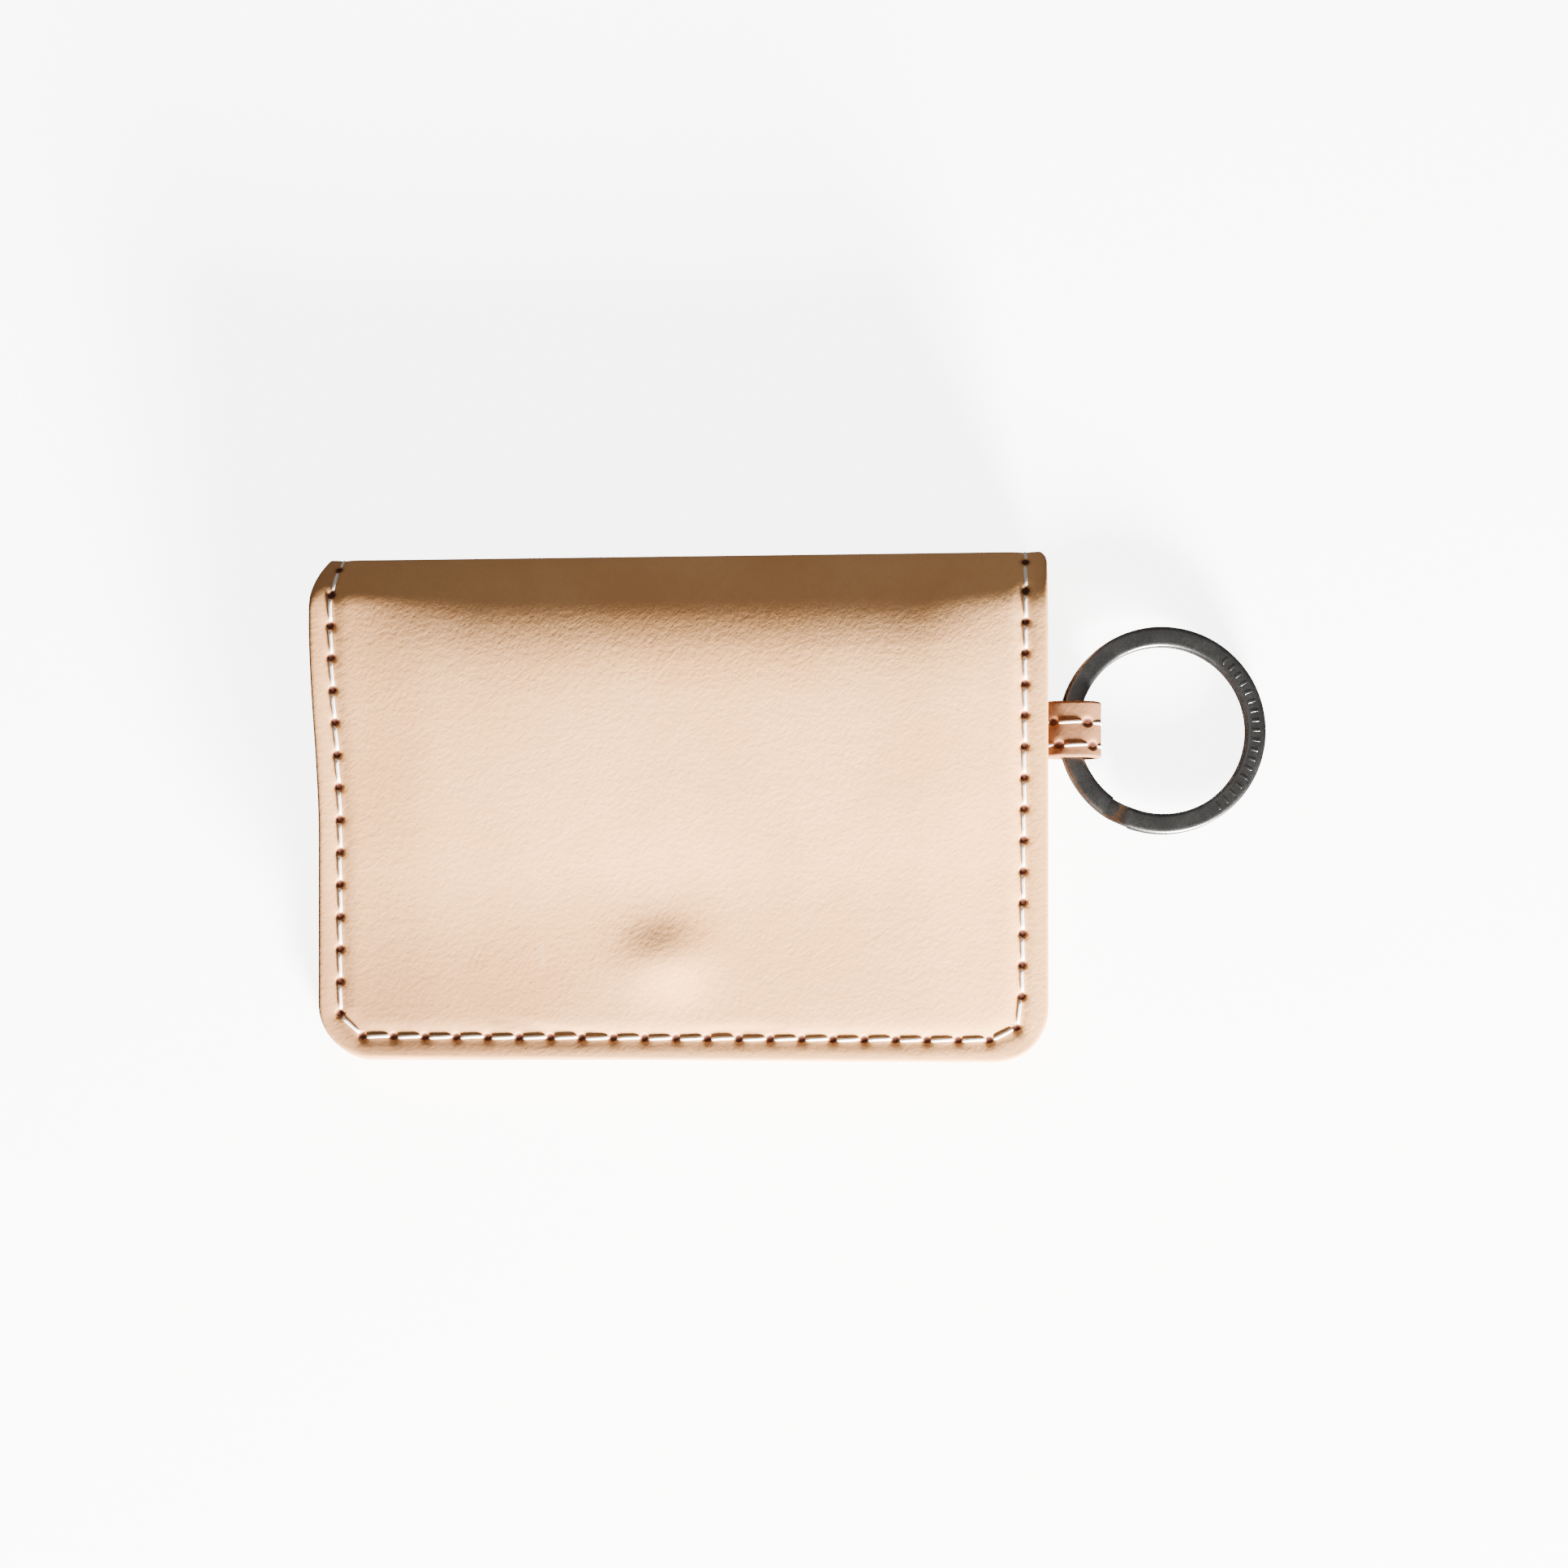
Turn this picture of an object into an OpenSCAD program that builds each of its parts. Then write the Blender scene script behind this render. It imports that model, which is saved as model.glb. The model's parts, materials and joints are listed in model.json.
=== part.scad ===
// Leather bifold card holder with a snap, an identity window and a split ring on a side loop.
// It lies on its back panel, closed: +X towards the ring, +Y towards the fold, +Z out of the front.
// The origin is the centre of the back panel's outer face.
//
// Each half is drawn in its own flat frame: x across, v along the half with 0 at its fold line and
// the open edge at -length, and w outwards from the centre of the fold, with the outer face at fold_r.

/* [Wallet] */
// Width across the side seams
wallet_w = 101.6; // [92:0.1:125]
// Height from the open edge to the outside of the fold, closed
wallet_h = 69.85; // [66:0.05:86]
// Outside radius of the fold, closed
fold_r = 7; // [6.6:0.1:9]
// Radius of the two corners at the open edge
corner_r = 7.5; // [6:0.5:10]

/* [Leather] */
// Thickness of the outer leather
panel_t = 1.5; // [1.2:0.1:1.8]
// Thickness of the two inner pockets
pocket_t = 1.2; // [0.9:0.1:1.5]
// Thickness of the strip that lines the fold
lining_t = 0.8; // [0.5:0.1:1]
// Space for cards between each panel and its pocket
card_space = 1.2; // [1:0.1:1.4]
// Distance from each fold line to the mouth of its pocket
mouth_gap = 2.5; // [2:0.5:4]
// Radius of the thumb notch in each pocket
thumb_r = 11.5; // [8:0.5:14]
// How far the centre of the thumb notch stands above the pocket's mouth
thumb_rise = 3.5; // [0:0.5:5]

/* [Seams] */
// Distance from the edge to the line of stitches
seam_inset = 3; // [2.6:0.1:3.4]
// Distance from one stitch hole to the next, before it is evened out
stitch_pitch = 4.43; // [3.5:0.01:5.5]
// Width of the thread
thread_w = 0.7; // [0.5:0.05:0.9]
// Thickness of the thread where it lies on the leather
thread_t = 0.45; // [0.3:0.05:0.5]
// Bare space between two stitches, where the thread goes down its hole
hole_gap = 0.9; // [0.6:0.1:1.2]

/* [Identity window] */
// Width of the window in the back panel
window_w = 78; // [60:1:82]
// Height of the window in the back panel
window_h = 42; // [34:0.5:44]
// Radius of the window's corners
window_r = 4; // [2:0.5:6]
// Thickness of the clear sheet
sheet_t = 0.4; // [0.25:0.05:0.5]
// How far the clear sheet reaches past the window all round
sheet_lap = 4; // [3.6:0.1:4.4]

/* [Snap] */
// Distance from the open edge to the middle of the snap
snap_edge = 14.2; // [12:0.1:17]
// Distance of the snap from the middle of the wallet, along X
snap_x = -2.4; // [-6:0.1:6]
// Diameter of the hidden cap
cap_d = 12.6; // [11:0.1:13.5]
// Diameter of the socket
socket_d = 10.5; // [9.5:0.1:11]
// Height of the socket
socket_h = 1.7; // [1.6:0.05:2]
// Diameter of the stud's flange
stud_d = 10; // [9:0.1:10.5]
// Diameter of the stud's head
stud_head_d = 5.6; // [5:0.1:5.8]
// Diameter of the posts that rivet the snap to the pockets
post_d = 3.5; // [3:0.1:3.8]

/* [Side loop] */
// Middle of the loop above the middle of the wallet, along Y
tab_y = 11.4; // [0:0.1:14]
// Width of the loop's strap
tab_w = 7.9; // [7:0.1:10]
// Thickness of the loop's strap
tab_t = 1.2; // [1:0.05:1.3]
// How far the loop stands out of the side seam
tab_reach = 7.85; // [7.8:0.05:9]
// Length of strap sewn into the seam
anchor_len = 5; // [4:0.1:6]

/* [Split ring] */
// Outside diameter of the ring
ring_d = 28.8; // [25:0.1:32]
// Width of the ring's flat band
band_w = 2.8; // [2.4:0.1:3]
// Thickness of each of the two coils
coil_t = 1.35; // [1.1:0.05:1.35]
// Gap between the two coils
coil_gap = 0.1; // [0.05:0.01:0.15]
// Direction of the step between the coils, counter-clockwise from +X
step_at = 242; // [200:1:300]

/* [Hidden] */

leather = [0.86, 0.75, 0.64];
lining_leather = [0.74, 0.58, 0.44];
thread_colour = [0.95, 0.9, 0.85];
nickel = [0.62, 0.62, 0.63];
dark_nickel = [0.4, 0.4, 0.41];
clear_vinyl = [0.85, 0.92, 0.94, 0.4];

round_fn = 96;
bump_fn = 180;
half_w = wallet_w / 2;
fold_y = wallet_h / 2 - fold_r;

// heights in a half's own frame
panel_in = fold_r - panel_t;
rim_face = panel_in - pocket_t;
pocket_face = panel_in - card_space - pocket_t;
pocket_back = panel_in - card_space;

// the pocket's flat rim carries the stitches, and its raised middle clears them
rim_w = seam_inset + thread_w / 2 + 0.45;
cavity_inset = rim_w + pocket_t;

// snap: heights add up to the distance between the two pockets
stud_flange_t = 0.5;
snap_clear = 0.235;
head_clearance = 0.7;
socket_wall = 0.35;
socket_bore = stud_head_d + 1;
spring_wire = 0.5;
post_clearance = 0.05;
cap_flange_t = 0.7;
cap_dome_h = 0.75;
post_flange_d = 8;
post_flange_t = 0.5;
back_len = fold_y + wallet_h / 2;
snap_v = back_len - snap_edge;
// the socket leans with the front half, so its lower rim needs this much more than snap_clear
lean = socket_d / 2 * (2 * pocket_face - stud_flange_t - socket_h - snap_clear)
    / (snap_v + socket_d / 2);
snap_gap = stud_flange_t + socket_h + snap_clear + lean;
head_h = snap_gap - head_clearance;

// the snap holds the two halves apart, which sets the angle between them
snap_reach = sqrt(snap_v * snap_v + pocket_face * pocket_face);
wedge = acos((snap_gap - pocket_face) / snap_reach) - atan2(snap_v, pocket_face);
fold_angle = 180 + wedge;
front_len = (back_len - fold_r * sin(wedge)) / cos(wedge);
stud_v = snap_v * cos(wedge) + (pocket_face - socket_h) * sin(wedge);
bump_r = 8.5;
bump_h = 0.8;

// seams
groove_w = thread_w + 0.3;
groove_d = thread_t + 0.05;
seam_cut = 3.15;
seam_x = half_w - seam_inset;
fold_stitches = round(fold_r * fold_angle * PI / 180 / stitch_pitch);
window_mid = (back_len - cavity_inset + mouth_gap) / 2;
window_seam = 2.2;

// side loop
tab_v = fold_y - tab_y;
bridge_t = pocket_t;
ring_h = 2 * coil_t + coil_gap;
loop_space = ring_h + 0.5;
loop_h = loop_space + 2 * tab_t;
floor_gap = 0.05;
tab_z = loop_h / 2 + floor_gap;
flex_r = 1;
flex_x = half_w + flex_r + 0.15;
taper = 55;
loop_end_x = half_w + tab_reach - loop_h / 2;
loop_full_x = flex_x - flex_r * sin(taper) + (loop_h / 2 - flex_r * cos(taper)) / tan(taper);
tab_rows = [0.95, -2.3];
tab_holes = [1.35, 5.8];
tab_groove_d = 0.4;
tab_thread_t = 0.35;

// split ring: its left edge lies in the loop, and its right edge on the surface below
ring_tilt = asin((tab_z - ring_h / 2) / (ring_d - band_w / 2)) + 0.25;
ring_clearance = 0.25;
cavity_x = half_w + 1.7;
ring_x = cavity_x + ring_clearance + ring_d / 2;
ring_z = ring_d / 2 * sin(ring_tilt) + ring_h / 2 * cos(ring_tilt);
coil_bevel = 0.3;
step_half = 8;
step_lap = 1.6;
step_inset = 0.03;
step_slices = 12;

// ---- placing ----

module back_half() {
    translate([0, fold_y, fold_r])
        mirror([0, 0, 1])
            children();
}

module front_half() {
    translate([0, fold_y, fold_r])
        rotate([wedge, 0, 0])
            children();
}

// a shape revolved about the centre line of the fold, from the back half's fold line
module about_fold(from, angle) {
    translate([0, fold_y, fold_r])
        rotate([0, 90, 0])
            rotate([0, 0, from])
                rotate_extrude(angle = angle, $fn = round_fn)
                    children();
}

module layer(low, high) {
    translate([0, 0, low])
        linear_extrude(high - low)
            children();
}

// ---- leather ----

// outline of a half, set in by inset on three sides, from its open edge up to top below the fold
module half_outline(length, inset, top) {
    r = corner_r - min(inset, corner_r - 2);
    x = half_w - inset;
    low = inset - length;
    translate([-x, low + r])
        square([2 * x, -top - low - r]);
    translate([r - x, low])
        square([2 * (x - r), r + 1]);
    for (side = [-1, 1])
        translate([side * (x - r), low + r])
            circle(r, $fn = round_fn);
}

// corners of the line of stitches on a half, from the left side round to the right
function seam_path(length, top) = [
    [-seam_x, -top],
    [-seam_x, seam_inset + seam_cut - length],
    [seam_cut - seam_x, seam_inset - length],
    [seam_x - seam_cut, seam_inset - length],
    [seam_x, seam_inset + seam_cut - length],
    [seam_x, -top],
];

// a straight band from a to b
module band(a, b, width) {
    d = b - a;
    translate(a)
        rotate(atan2(d[1], d[0]))
            translate([0, -width / 2])
                square([norm(d), width]);
}

module path_band(path, width) {
    for (i = [1 : len(path) - 1])
        band(path[i - 1], path[i], width);
    for (i = [1 : len(path) - 2])
        translate(path[i])
            circle(d = width, $fn = 32);
}

// evenly spaced stitches along each straight run of a path
module path_stitches(path) {
    for (i = [1 : len(path) - 1]) {
        run = path[i] - path[i - 1];
        count = max(1, round(norm(run) / stitch_pitch));
        step = run / count;
        along = step / norm(step);
        for (k = [0 : count - 1]) {
            start = path[i - 1] + step * k;
            band(start + along * hole_gap / 2, start + step - along * hole_gap / 2, thread_w);
        }
    }
}

module seam_groove(length) {
    layer(fold_r - groove_d, fold_r + 1)
        path_band(seam_path(length, 0), groove_w);
}

module outer_seam(length) {
    layer(fold_r - groove_d, fold_r - groove_d + thread_t)
        path_stitches(seam_path(length, 0));
}

module inner_seam(length) {
    layer(rim_face - thread_t, rim_face)
        path_stitches(seam_path(length, mouth_gap));
}

// the pocket's moulded leather: a flat rim, a raised middle and a thumb notch
module pocket(length) {
    difference() {
        union() {
            layer(rim_face, panel_in)
                half_outline(length, 0, mouth_gap);
            layer(pocket_face, rim_face)
                half_outline(length, rim_w, mouth_gap);
        }
        layer(pocket_back, panel_in + 1)
            half_outline(length, cavity_inset, mouth_gap - 1);
        translate([0, thumb_rise - mouth_gap, pocket_face - 1])
            cylinder(r = thumb_r, h = panel_t + card_space + 3, $fn = round_fn);
    }
}

// the low dome that the snap's cap pushes up in the front leather
module bump(face) {
    sphere_r = (bump_r * bump_r + bump_h * bump_h) / (2 * bump_h);
    translate([snap_x, -snap_v, face])
        intersection() {
            translate([0, 0, bump_h - sphere_r])
                sphere(sphere_r, $fn = bump_fn);
            cylinder(r = bump_r, h = bump_h, $fn = round_fn);
        }
}

module window_outline(grow) {
    w = window_w + 2 * grow;
    h = window_h + 2 * grow;
    r = window_r + grow;
    translate([0, -window_mid]) {
        square([w - 2 * r, h], center = true);
        square([w, h - 2 * r], center = true);
        for (x = [-1, 1], y = [-1, 1])
            translate([x * (w / 2 - r), y * (h / 2 - r)])
                circle(r, $fn = round_fn);
    }
}

function window_path() = let (
    x = window_w / 2 + window_seam,
    y = window_h / 2 + window_seam,
    m = [0, -window_mid]
) [
    m + [-x, -y + window_r], m + [-x, y - window_r], m + [-x + window_r, y],
    m + [x - window_r, y], m + [x, y - window_r], m + [x, -y + window_r],
    m + [x - window_r, -y], m + [-x + window_r, -y], m + [-x, -y + window_r],
];

// ---- back half ----

module back_panel() {
    color(leather)
        back_half()
            difference() {
                layer(panel_in, fold_r)
                    half_outline(back_len, 0, 0);
                layer(panel_in - 1, fold_r + 1)
                    window_outline(0);
                seam_groove(back_len);
                layer(fold_r - groove_d, fold_r + 1)
                    path_band(window_path(), groove_w);
            }
}

module id_window() {
    color(clear_vinyl)
        back_half()
            layer(panel_in - sheet_t, panel_in)
                window_outline(sheet_lap);
}

module window_stitching() {
    color(thread_colour)
        back_half()
            layer(fold_r - groove_d, fold_r - groove_d + thread_t)
                path_stitches(window_path());
}

// the strap's two ends lie one on the other between the back panel and its pocket
module anchor_space() {
    translate([half_w - anchor_len, -tab_v - tab_w / 2, panel_in - 2 * tab_t])
        cube([anchor_len + 1, tab_w, 2 * tab_t]);
}

module anchor_bridge() {
    translate([half_w - anchor_len - bridge_t, -tab_v - tab_w / 2 - bridge_t,
            panel_in - 2 * tab_t - bridge_t])
        cube([anchor_len + bridge_t, tab_w + 2 * bridge_t, 2 * tab_t + bridge_t]);
}

module back_pocket() {
    color(lining_leather)
        back_half()
            difference() {
                union() {
                    pocket(back_len);
                    anchor_bridge();
                }
                anchor_space();
                translate([snap_x, -stud_v, pocket_face - 1])
                    cylinder(d = post_d + 2 * post_clearance, h = pocket_t + 2, $fn = round_fn);
            }
}

module tab_anchor() {
    color(leather)
        back_half()
            for (i = [1, 2])
                translate([half_w - anchor_len, -tab_v - tab_w / 2, panel_in - i * tab_t])
                    cube([anchor_len, tab_w, tab_t]);
}

module back_seam_outer() {
    color(thread_colour)
        back_half()
            outer_seam(back_len);
}

module back_seam_inner() {
    color(thread_colour)
        back_half()
            difference() {
                inner_seam(back_len);
                translate([half_w - seam_inset - 2, -tab_v - tab_w / 2 - bridge_t - 0.1, 0])
                    cube([4, tab_w + 2 * bridge_t + 0.2, fold_r]);
            }
}

module snap_stud() {
    color(nickel)
        back_half()
            translate([snap_x, -stud_v, pocket_face])
                mirror([0, 0, 1])
                    difference() {
                        union() {
                            cylinder(d = stud_d, h = stud_flange_t, $fn = round_fn);
                            cylinder(d = stud_head_d - 0.7, h = head_h - 0.3, $fn = round_fn);
                            translate([0, 0, head_h - 1])
                                cylinder(d = stud_head_d, h = 0.7, $fn = round_fn);
                            translate([0, 0, head_h - 0.3])
                                cylinder(d1 = stud_head_d, d2 = stud_head_d - 1.2, h = 0.3,
                                    $fn = round_fn);
                        }
                        translate([0, 0, -1])
                            cylinder(d = post_d + 2 * post_clearance, h = head_h + 0.4,
                                $fn = round_fn);
                    }
}

module snap_post() {
    color(nickel)
        back_half()
            translate([snap_x, -stud_v, 0]) {
                layer(pocket_back, pocket_back + post_flange_t)
                    circle(d = post_flange_d, $fn = round_fn);
                layer(pocket_face - stud_flange_t, pocket_back)
                    circle(d = post_d, $fn = round_fn);
            }
}

// ---- fold ----

module fold_panel() {
    color(leather)
        difference() {
            about_fold(0, fold_angle)
                translate([panel_in, -half_w])
                    square([panel_t, wallet_w]);
            for (side = [-1, 1])
                about_fold(-1, fold_angle + 2)
                    translate([fold_r - groove_d, side * seam_x - groove_w / 2])
                        square([groove_d + 1, groove_w]);
        }
}

module fold_lining() {
    color(lining_leather)
        about_fold(0, fold_angle)
            translate([panel_in - lining_t, -half_w])
                square([lining_t, wallet_w]);
}

module fold_stitches(radius) {
    step = fold_angle / fold_stitches;
    gap = hole_gap / radius * 180 / PI;
    for (side = [-1, 1], k = [0 : fold_stitches - 1])
        about_fold(step * k + gap / 2, step - gap)
            translate([radius, side * seam_x - thread_w / 2])
                square([thread_t, thread_w]);
}

module fold_seam_outer() {
    color(thread_colour)
        fold_stitches(fold_r - groove_d);
}

module fold_seam_inner() {
    color(thread_colour)
        fold_stitches(panel_in - lining_t - thread_t);
}

// ---- front half ----

module front_panel() {
    color(leather)
        front_half()
            difference() {
                union() {
                    layer(panel_in, fold_r)
                        half_outline(front_len, 0, 0);
                    bump(fold_r);
                }
                bump(panel_in);
                seam_groove(front_len);
            }
}

module front_pocket() {
    color(lining_leather)
        front_half()
            difference() {
                pocket(front_len);
                translate([snap_x, -snap_v, pocket_face - 1])
                    cylinder(d = post_d + 2 * post_clearance, h = pocket_t + 2, $fn = round_fn);
            }
}

module front_seam_outer() {
    color(thread_colour)
        front_half()
            outer_seam(front_len);
}

module front_seam_inner() {
    color(thread_colour)
        front_half()
            inner_seam(front_len);
}

module snap_cap() {
    dome_r = (cap_d * cap_d / 4 + cap_dome_h * cap_dome_h) / (2 * cap_dome_h);
    color(nickel)
        front_half()
            translate([snap_x, -snap_v, 0]) {
                layer(pocket_back, pocket_back + cap_flange_t)
                    circle(d = cap_d, $fn = round_fn);
                layer(pocket_face - socket_wall, pocket_back)
                    circle(d = post_d, $fn = round_fn);
                translate([0, 0, pocket_back + cap_flange_t])
                    intersection() {
                        translate([0, 0, cap_dome_h - dome_r])
                            sphere(dome_r, $fn = bump_fn);
                        cylinder(d = cap_d, h = cap_dome_h, $fn = round_fn);
                    }
            }
}

module snap_socket() {
    color(nickel)
        front_half()
            translate([snap_x, -snap_v, pocket_face])
                mirror([0, 0, 1])
                    difference() {
                        cylinder(d = socket_d, h = socket_h, $fn = round_fn);
                        translate([0, 0, -1])
                            cylinder(d = post_d + 2 * post_clearance, h = 2, $fn = round_fn);
                        translate([0, 0, socket_wall])
                            cylinder(d = socket_bore, h = socket_h, $fn = round_fn);
                        translate([0, 0, socket_wall])
                            cylinder(d = socket_bore + 2 * spring_wire, h = spring_wire + 0.1,
                                $fn = round_fn);
                    }
}

// an open wire ring that grips the stud's head, in the groove at the bottom of the socket
module snap_spring() {
    color(dark_nickel)
        front_half()
            translate([snap_x, -snap_v, pocket_face - socket_wall - spring_wire / 2])
                rotate([0, 0, 20])
                    rotate_extrude(angle = 320, $fn = round_fn)
                        translate([(socket_bore + spring_wire) / 2, 0])
                            circle(d = spring_wire, $fn = 24);
}

// ---- side loop ----

// side view of the loop: x across, y up
module loop_profile(half_h) {
    translate([loop_full_x, -half_h])
        square([loop_end_x - loop_full_x, 2 * half_h]);
    translate([loop_end_x, 0])
        circle(half_h, $fn = round_fn);
}

module loop_outline() {
    x = flex_x - flex_r * sin(taper);
    y = flex_r * cos(taper);
    h = loop_h / 2;
    loop_profile(h);
    translate([flex_x, 0])
        circle(flex_r, $fn = 48);
    polygon([[x, -y], [loop_full_x, -h], [loop_full_x + 0.1, -h], [loop_full_x + 0.1, h],
        [loop_full_x, h], [x, y]]);
}

module loop_cavity() {
    h = loop_space / 2;
    translate([cavity_x, -h])
        square([loop_end_x - cavity_x, 2 * h]);
    translate([loop_end_x, 0])
        circle(h, $fn = round_fn);
}

// a side view extruded along Y, width wide, about y
module loop_slab(y, width) {
    translate([0, y + width / 2, tab_z])
        rotate([90, 0, 0])
            linear_extrude(width)
                children();
}

// the skin of the loop along which a row of stitches runs
module loop_skin(top, bottom) {
    difference() {
        loop_profile(loop_h / 2 - top);
        loop_profile(loop_h / 2 - bottom);
    }
}

module tab_loop() {
    color(leather)
        difference() {
            loop_slab(tab_y, tab_w)
                difference() {
                    loop_outline();
                    loop_cavity();
                }
            for (row = tab_rows)
                loop_slab(tab_y + row, groove_w)
                    difference() {
                        loop_profile(loop_h / 2 + 1);
                        loop_profile(loop_h / 2 - tab_groove_d);
                        translate([0, -loop_h])
                            square([loop_full_x, 2 * loop_h]);
                    }
        }
}

module tab_stitching() {
    color(thread_colour)
        for (row = tab_rows)
            loop_slab(tab_y + row, thread_w)
                difference() {
                    loop_skin(tab_groove_d - tab_thread_t, tab_groove_d);
                    translate([loop_full_x - 1, -loop_h])
                        square([1.1, 2 * loop_h]);
                    for (hole = tab_holes)
                        translate([half_w + hole - hole_gap / 4, -loop_h])
                            square([hole_gap / 2, 2 * loop_h]);
                }
}

// ---- split ring ----

coil_mid = (ring_d - band_w) / 2;

// section of one coil about its own middle, with bevelled corners, set in by inset all round
function coil_section(inset) = let (
    a = band_w / 2 - inset,
    b = coil_t / 2 - inset,
    c = coil_bevel
) [
    [-a + c, -b], [a - c, -b], [a, -b + c], [a, b - c],
    [a - c, b], [-a + c, b], [-a, b - c], [-a, -b + c],
];

module coil(level) {
    rotate([0, 0, step_at + step_half])
        rotate_extrude(angle = 360 - 2 * step_half, $fn = 180)
            translate([coil_mid, level])
                polygon(coil_section(0));
}

// the short step where the wire climbs from the lower coil to the upper one, its ends inside them
module coil_step(low, high) {
    section = coil_section(step_inset);
    sides = len(section);
    points = [
        for (i = [0 : step_slices])
            let (
                across = (step_half + step_lap) * (2 * i / step_slices - 1),
                t = min(1, max(0, across / step_half / 2 + 0.5)),
                a = step_at + across,
                level = low + (high - low) * t * t * (3 - 2 * t)
            )
            for (p = section)
                [(coil_mid + p[0]) * cos(a), (coil_mid + p[0]) * sin(a), level + p[1]]
    ];
    walls = [
        for (i = [0 : step_slices - 1], k = [0 : sides - 1])
            let (n = (k + 1) % sides)
            for (face = [
                [i * sides + k, (i + 1) * sides + n, (i + 1) * sides + k],
                [i * sides + k, i * sides + n, (i + 1) * sides + n],
            ])
                face
    ];
    start = [for (k = [sides - 1 : -1 : 0]) k];
    end = [for (k = [0 : sides - 1]) step_slices * sides + k];
    polyhedron(points, concat(walls, [start, end]));
}

module split_ring() {
    level = (coil_t + coil_gap) / 2;
    color(dark_nickel)
        translate([ring_x, tab_y, ring_z])
            rotate([0, ring_tilt, 0]) {
                coil(-level);
                coil(level);
                coil_step(-level, level);
            }
}

back_panel();
id_window();
window_stitching();
back_pocket();
back_seam_outer();
back_seam_inner();
tab_anchor();
snap_stud();
snap_post();
fold_panel();
fold_lining();
fold_seam_outer();
fold_seam_inner();
front_panel();
front_pocket();
front_seam_outer();
front_seam_inner();
snap_cap();
snap_socket();
snap_spring();
tab_loop();
tab_stitching();
split_ring();
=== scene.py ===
"""Looks of a leather bifold card holder with a split ring on a side loop.

Leather is made as a flat blank, the way it is cut: x across the holder, s along it with 0 at the fold
line, the open edge at -length and the spine above 0, and h above the hide's face. A forming function
then bends the blank into the closed holder. Sizes are in millimetres, and meshes are written in metres.
"""

import json
import logging
import math
from dataclasses import dataclass
from enum import Enum
from typing import Callable, Sequence

import bpy
import numpy as np
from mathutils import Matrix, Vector


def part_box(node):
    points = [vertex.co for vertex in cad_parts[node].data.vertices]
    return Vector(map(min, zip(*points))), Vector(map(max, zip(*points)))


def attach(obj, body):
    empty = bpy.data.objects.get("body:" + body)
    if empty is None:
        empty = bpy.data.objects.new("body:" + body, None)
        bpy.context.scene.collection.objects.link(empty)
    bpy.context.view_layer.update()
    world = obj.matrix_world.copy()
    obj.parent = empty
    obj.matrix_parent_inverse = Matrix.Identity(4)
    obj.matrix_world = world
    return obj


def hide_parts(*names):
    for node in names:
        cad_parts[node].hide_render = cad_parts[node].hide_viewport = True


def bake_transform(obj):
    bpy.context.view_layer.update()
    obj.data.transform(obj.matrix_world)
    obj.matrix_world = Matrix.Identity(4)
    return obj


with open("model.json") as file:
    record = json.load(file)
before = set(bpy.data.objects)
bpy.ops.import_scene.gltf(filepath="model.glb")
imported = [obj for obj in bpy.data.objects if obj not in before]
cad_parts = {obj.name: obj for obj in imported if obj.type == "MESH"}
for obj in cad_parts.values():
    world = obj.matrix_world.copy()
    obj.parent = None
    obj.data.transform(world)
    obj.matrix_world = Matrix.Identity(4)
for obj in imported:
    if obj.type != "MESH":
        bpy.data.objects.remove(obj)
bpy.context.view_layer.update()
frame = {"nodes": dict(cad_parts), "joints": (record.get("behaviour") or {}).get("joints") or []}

LOG = logging.getLogger("card_holder")
MM = 0.001
STITCH_PITCH = 4.43
HOLE_CORE_R = 0.40
HOLE_RIM_R = 0.66
DIMPLE_R = (0.30, 0.85)
# Dark brown for real specks, and as painted shade inside the stitch holes and along a creased line.
DARK_DIRT_AND_SHADE = (0.075, 0.022, 0.012)
Array = np.ndarray
Former = Callable[[Array], Array]


class Half(Enum):
    """The two halves of the holder, each with its own flat frame."""

    FRONT = "front"
    BACK = "back"


class Hide(Enum):
    """Material slots of a leather blank, in the order in which they are assigned."""

    FACE = 0
    EDGE = 1
    FLESH = 2


def joint_row(name: str) -> dict:
    """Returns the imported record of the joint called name."""
    return next(row for row in frame["joints"] if row["name"] == name)


# ---- numbers and shapes ----


def smooth(t: Array) -> Array:
    """Returns a soft step of t, 0 below 0 and 1 above 1."""
    t = np.clip(t, 0.0, 1.0)
    return t * t * (3 - 2 * t)


def ramp(value: Array, start: float, end: float) -> Array:
    """Returns a soft step of value, 0 on start's side and 1 on end's, whichever of the two is lower."""
    return smooth((value - start) / (end - start))


def hump(t: Array) -> Array:
    """Returns a bell curve of t with its top, 1, at 0."""
    return np.exp(-t * t)


def graded(low: float, high: float, step: float, edges: Sequence[float]) -> Array:
    """Grid lines from low to high, closer together near both ends.

    Args:
        low: First line.
        high: Last line.
        step: Spacing in the middle.
        edges: Distances of the close lines from each end, from 0 up.

    Returns:
        The lines in order.
    """
    inner_low, inner_high = low + edges[-1], high - edges[-1]
    count = max(1, round((inner_high - inner_low) / step))
    middle = np.linspace(inner_low, inner_high, count + 1)
    return np.concatenate([low + np.array(edges[:-1]), middle, high - np.array(edges[:-1])[::-1]])


def eased(values: Array, passes: int) -> Array:
    """Evens out a row of numbers or points, leaving its two ends where they are.

    Args:
        values: The row, which is changed.
        passes: How often it is evened out.

    Returns:
        The same row.
    """
    for _ in range(passes):
        values[1:-1] = (values[:-2] + 2 * values[1:-1] + values[2:]) / 4
    return values


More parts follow.
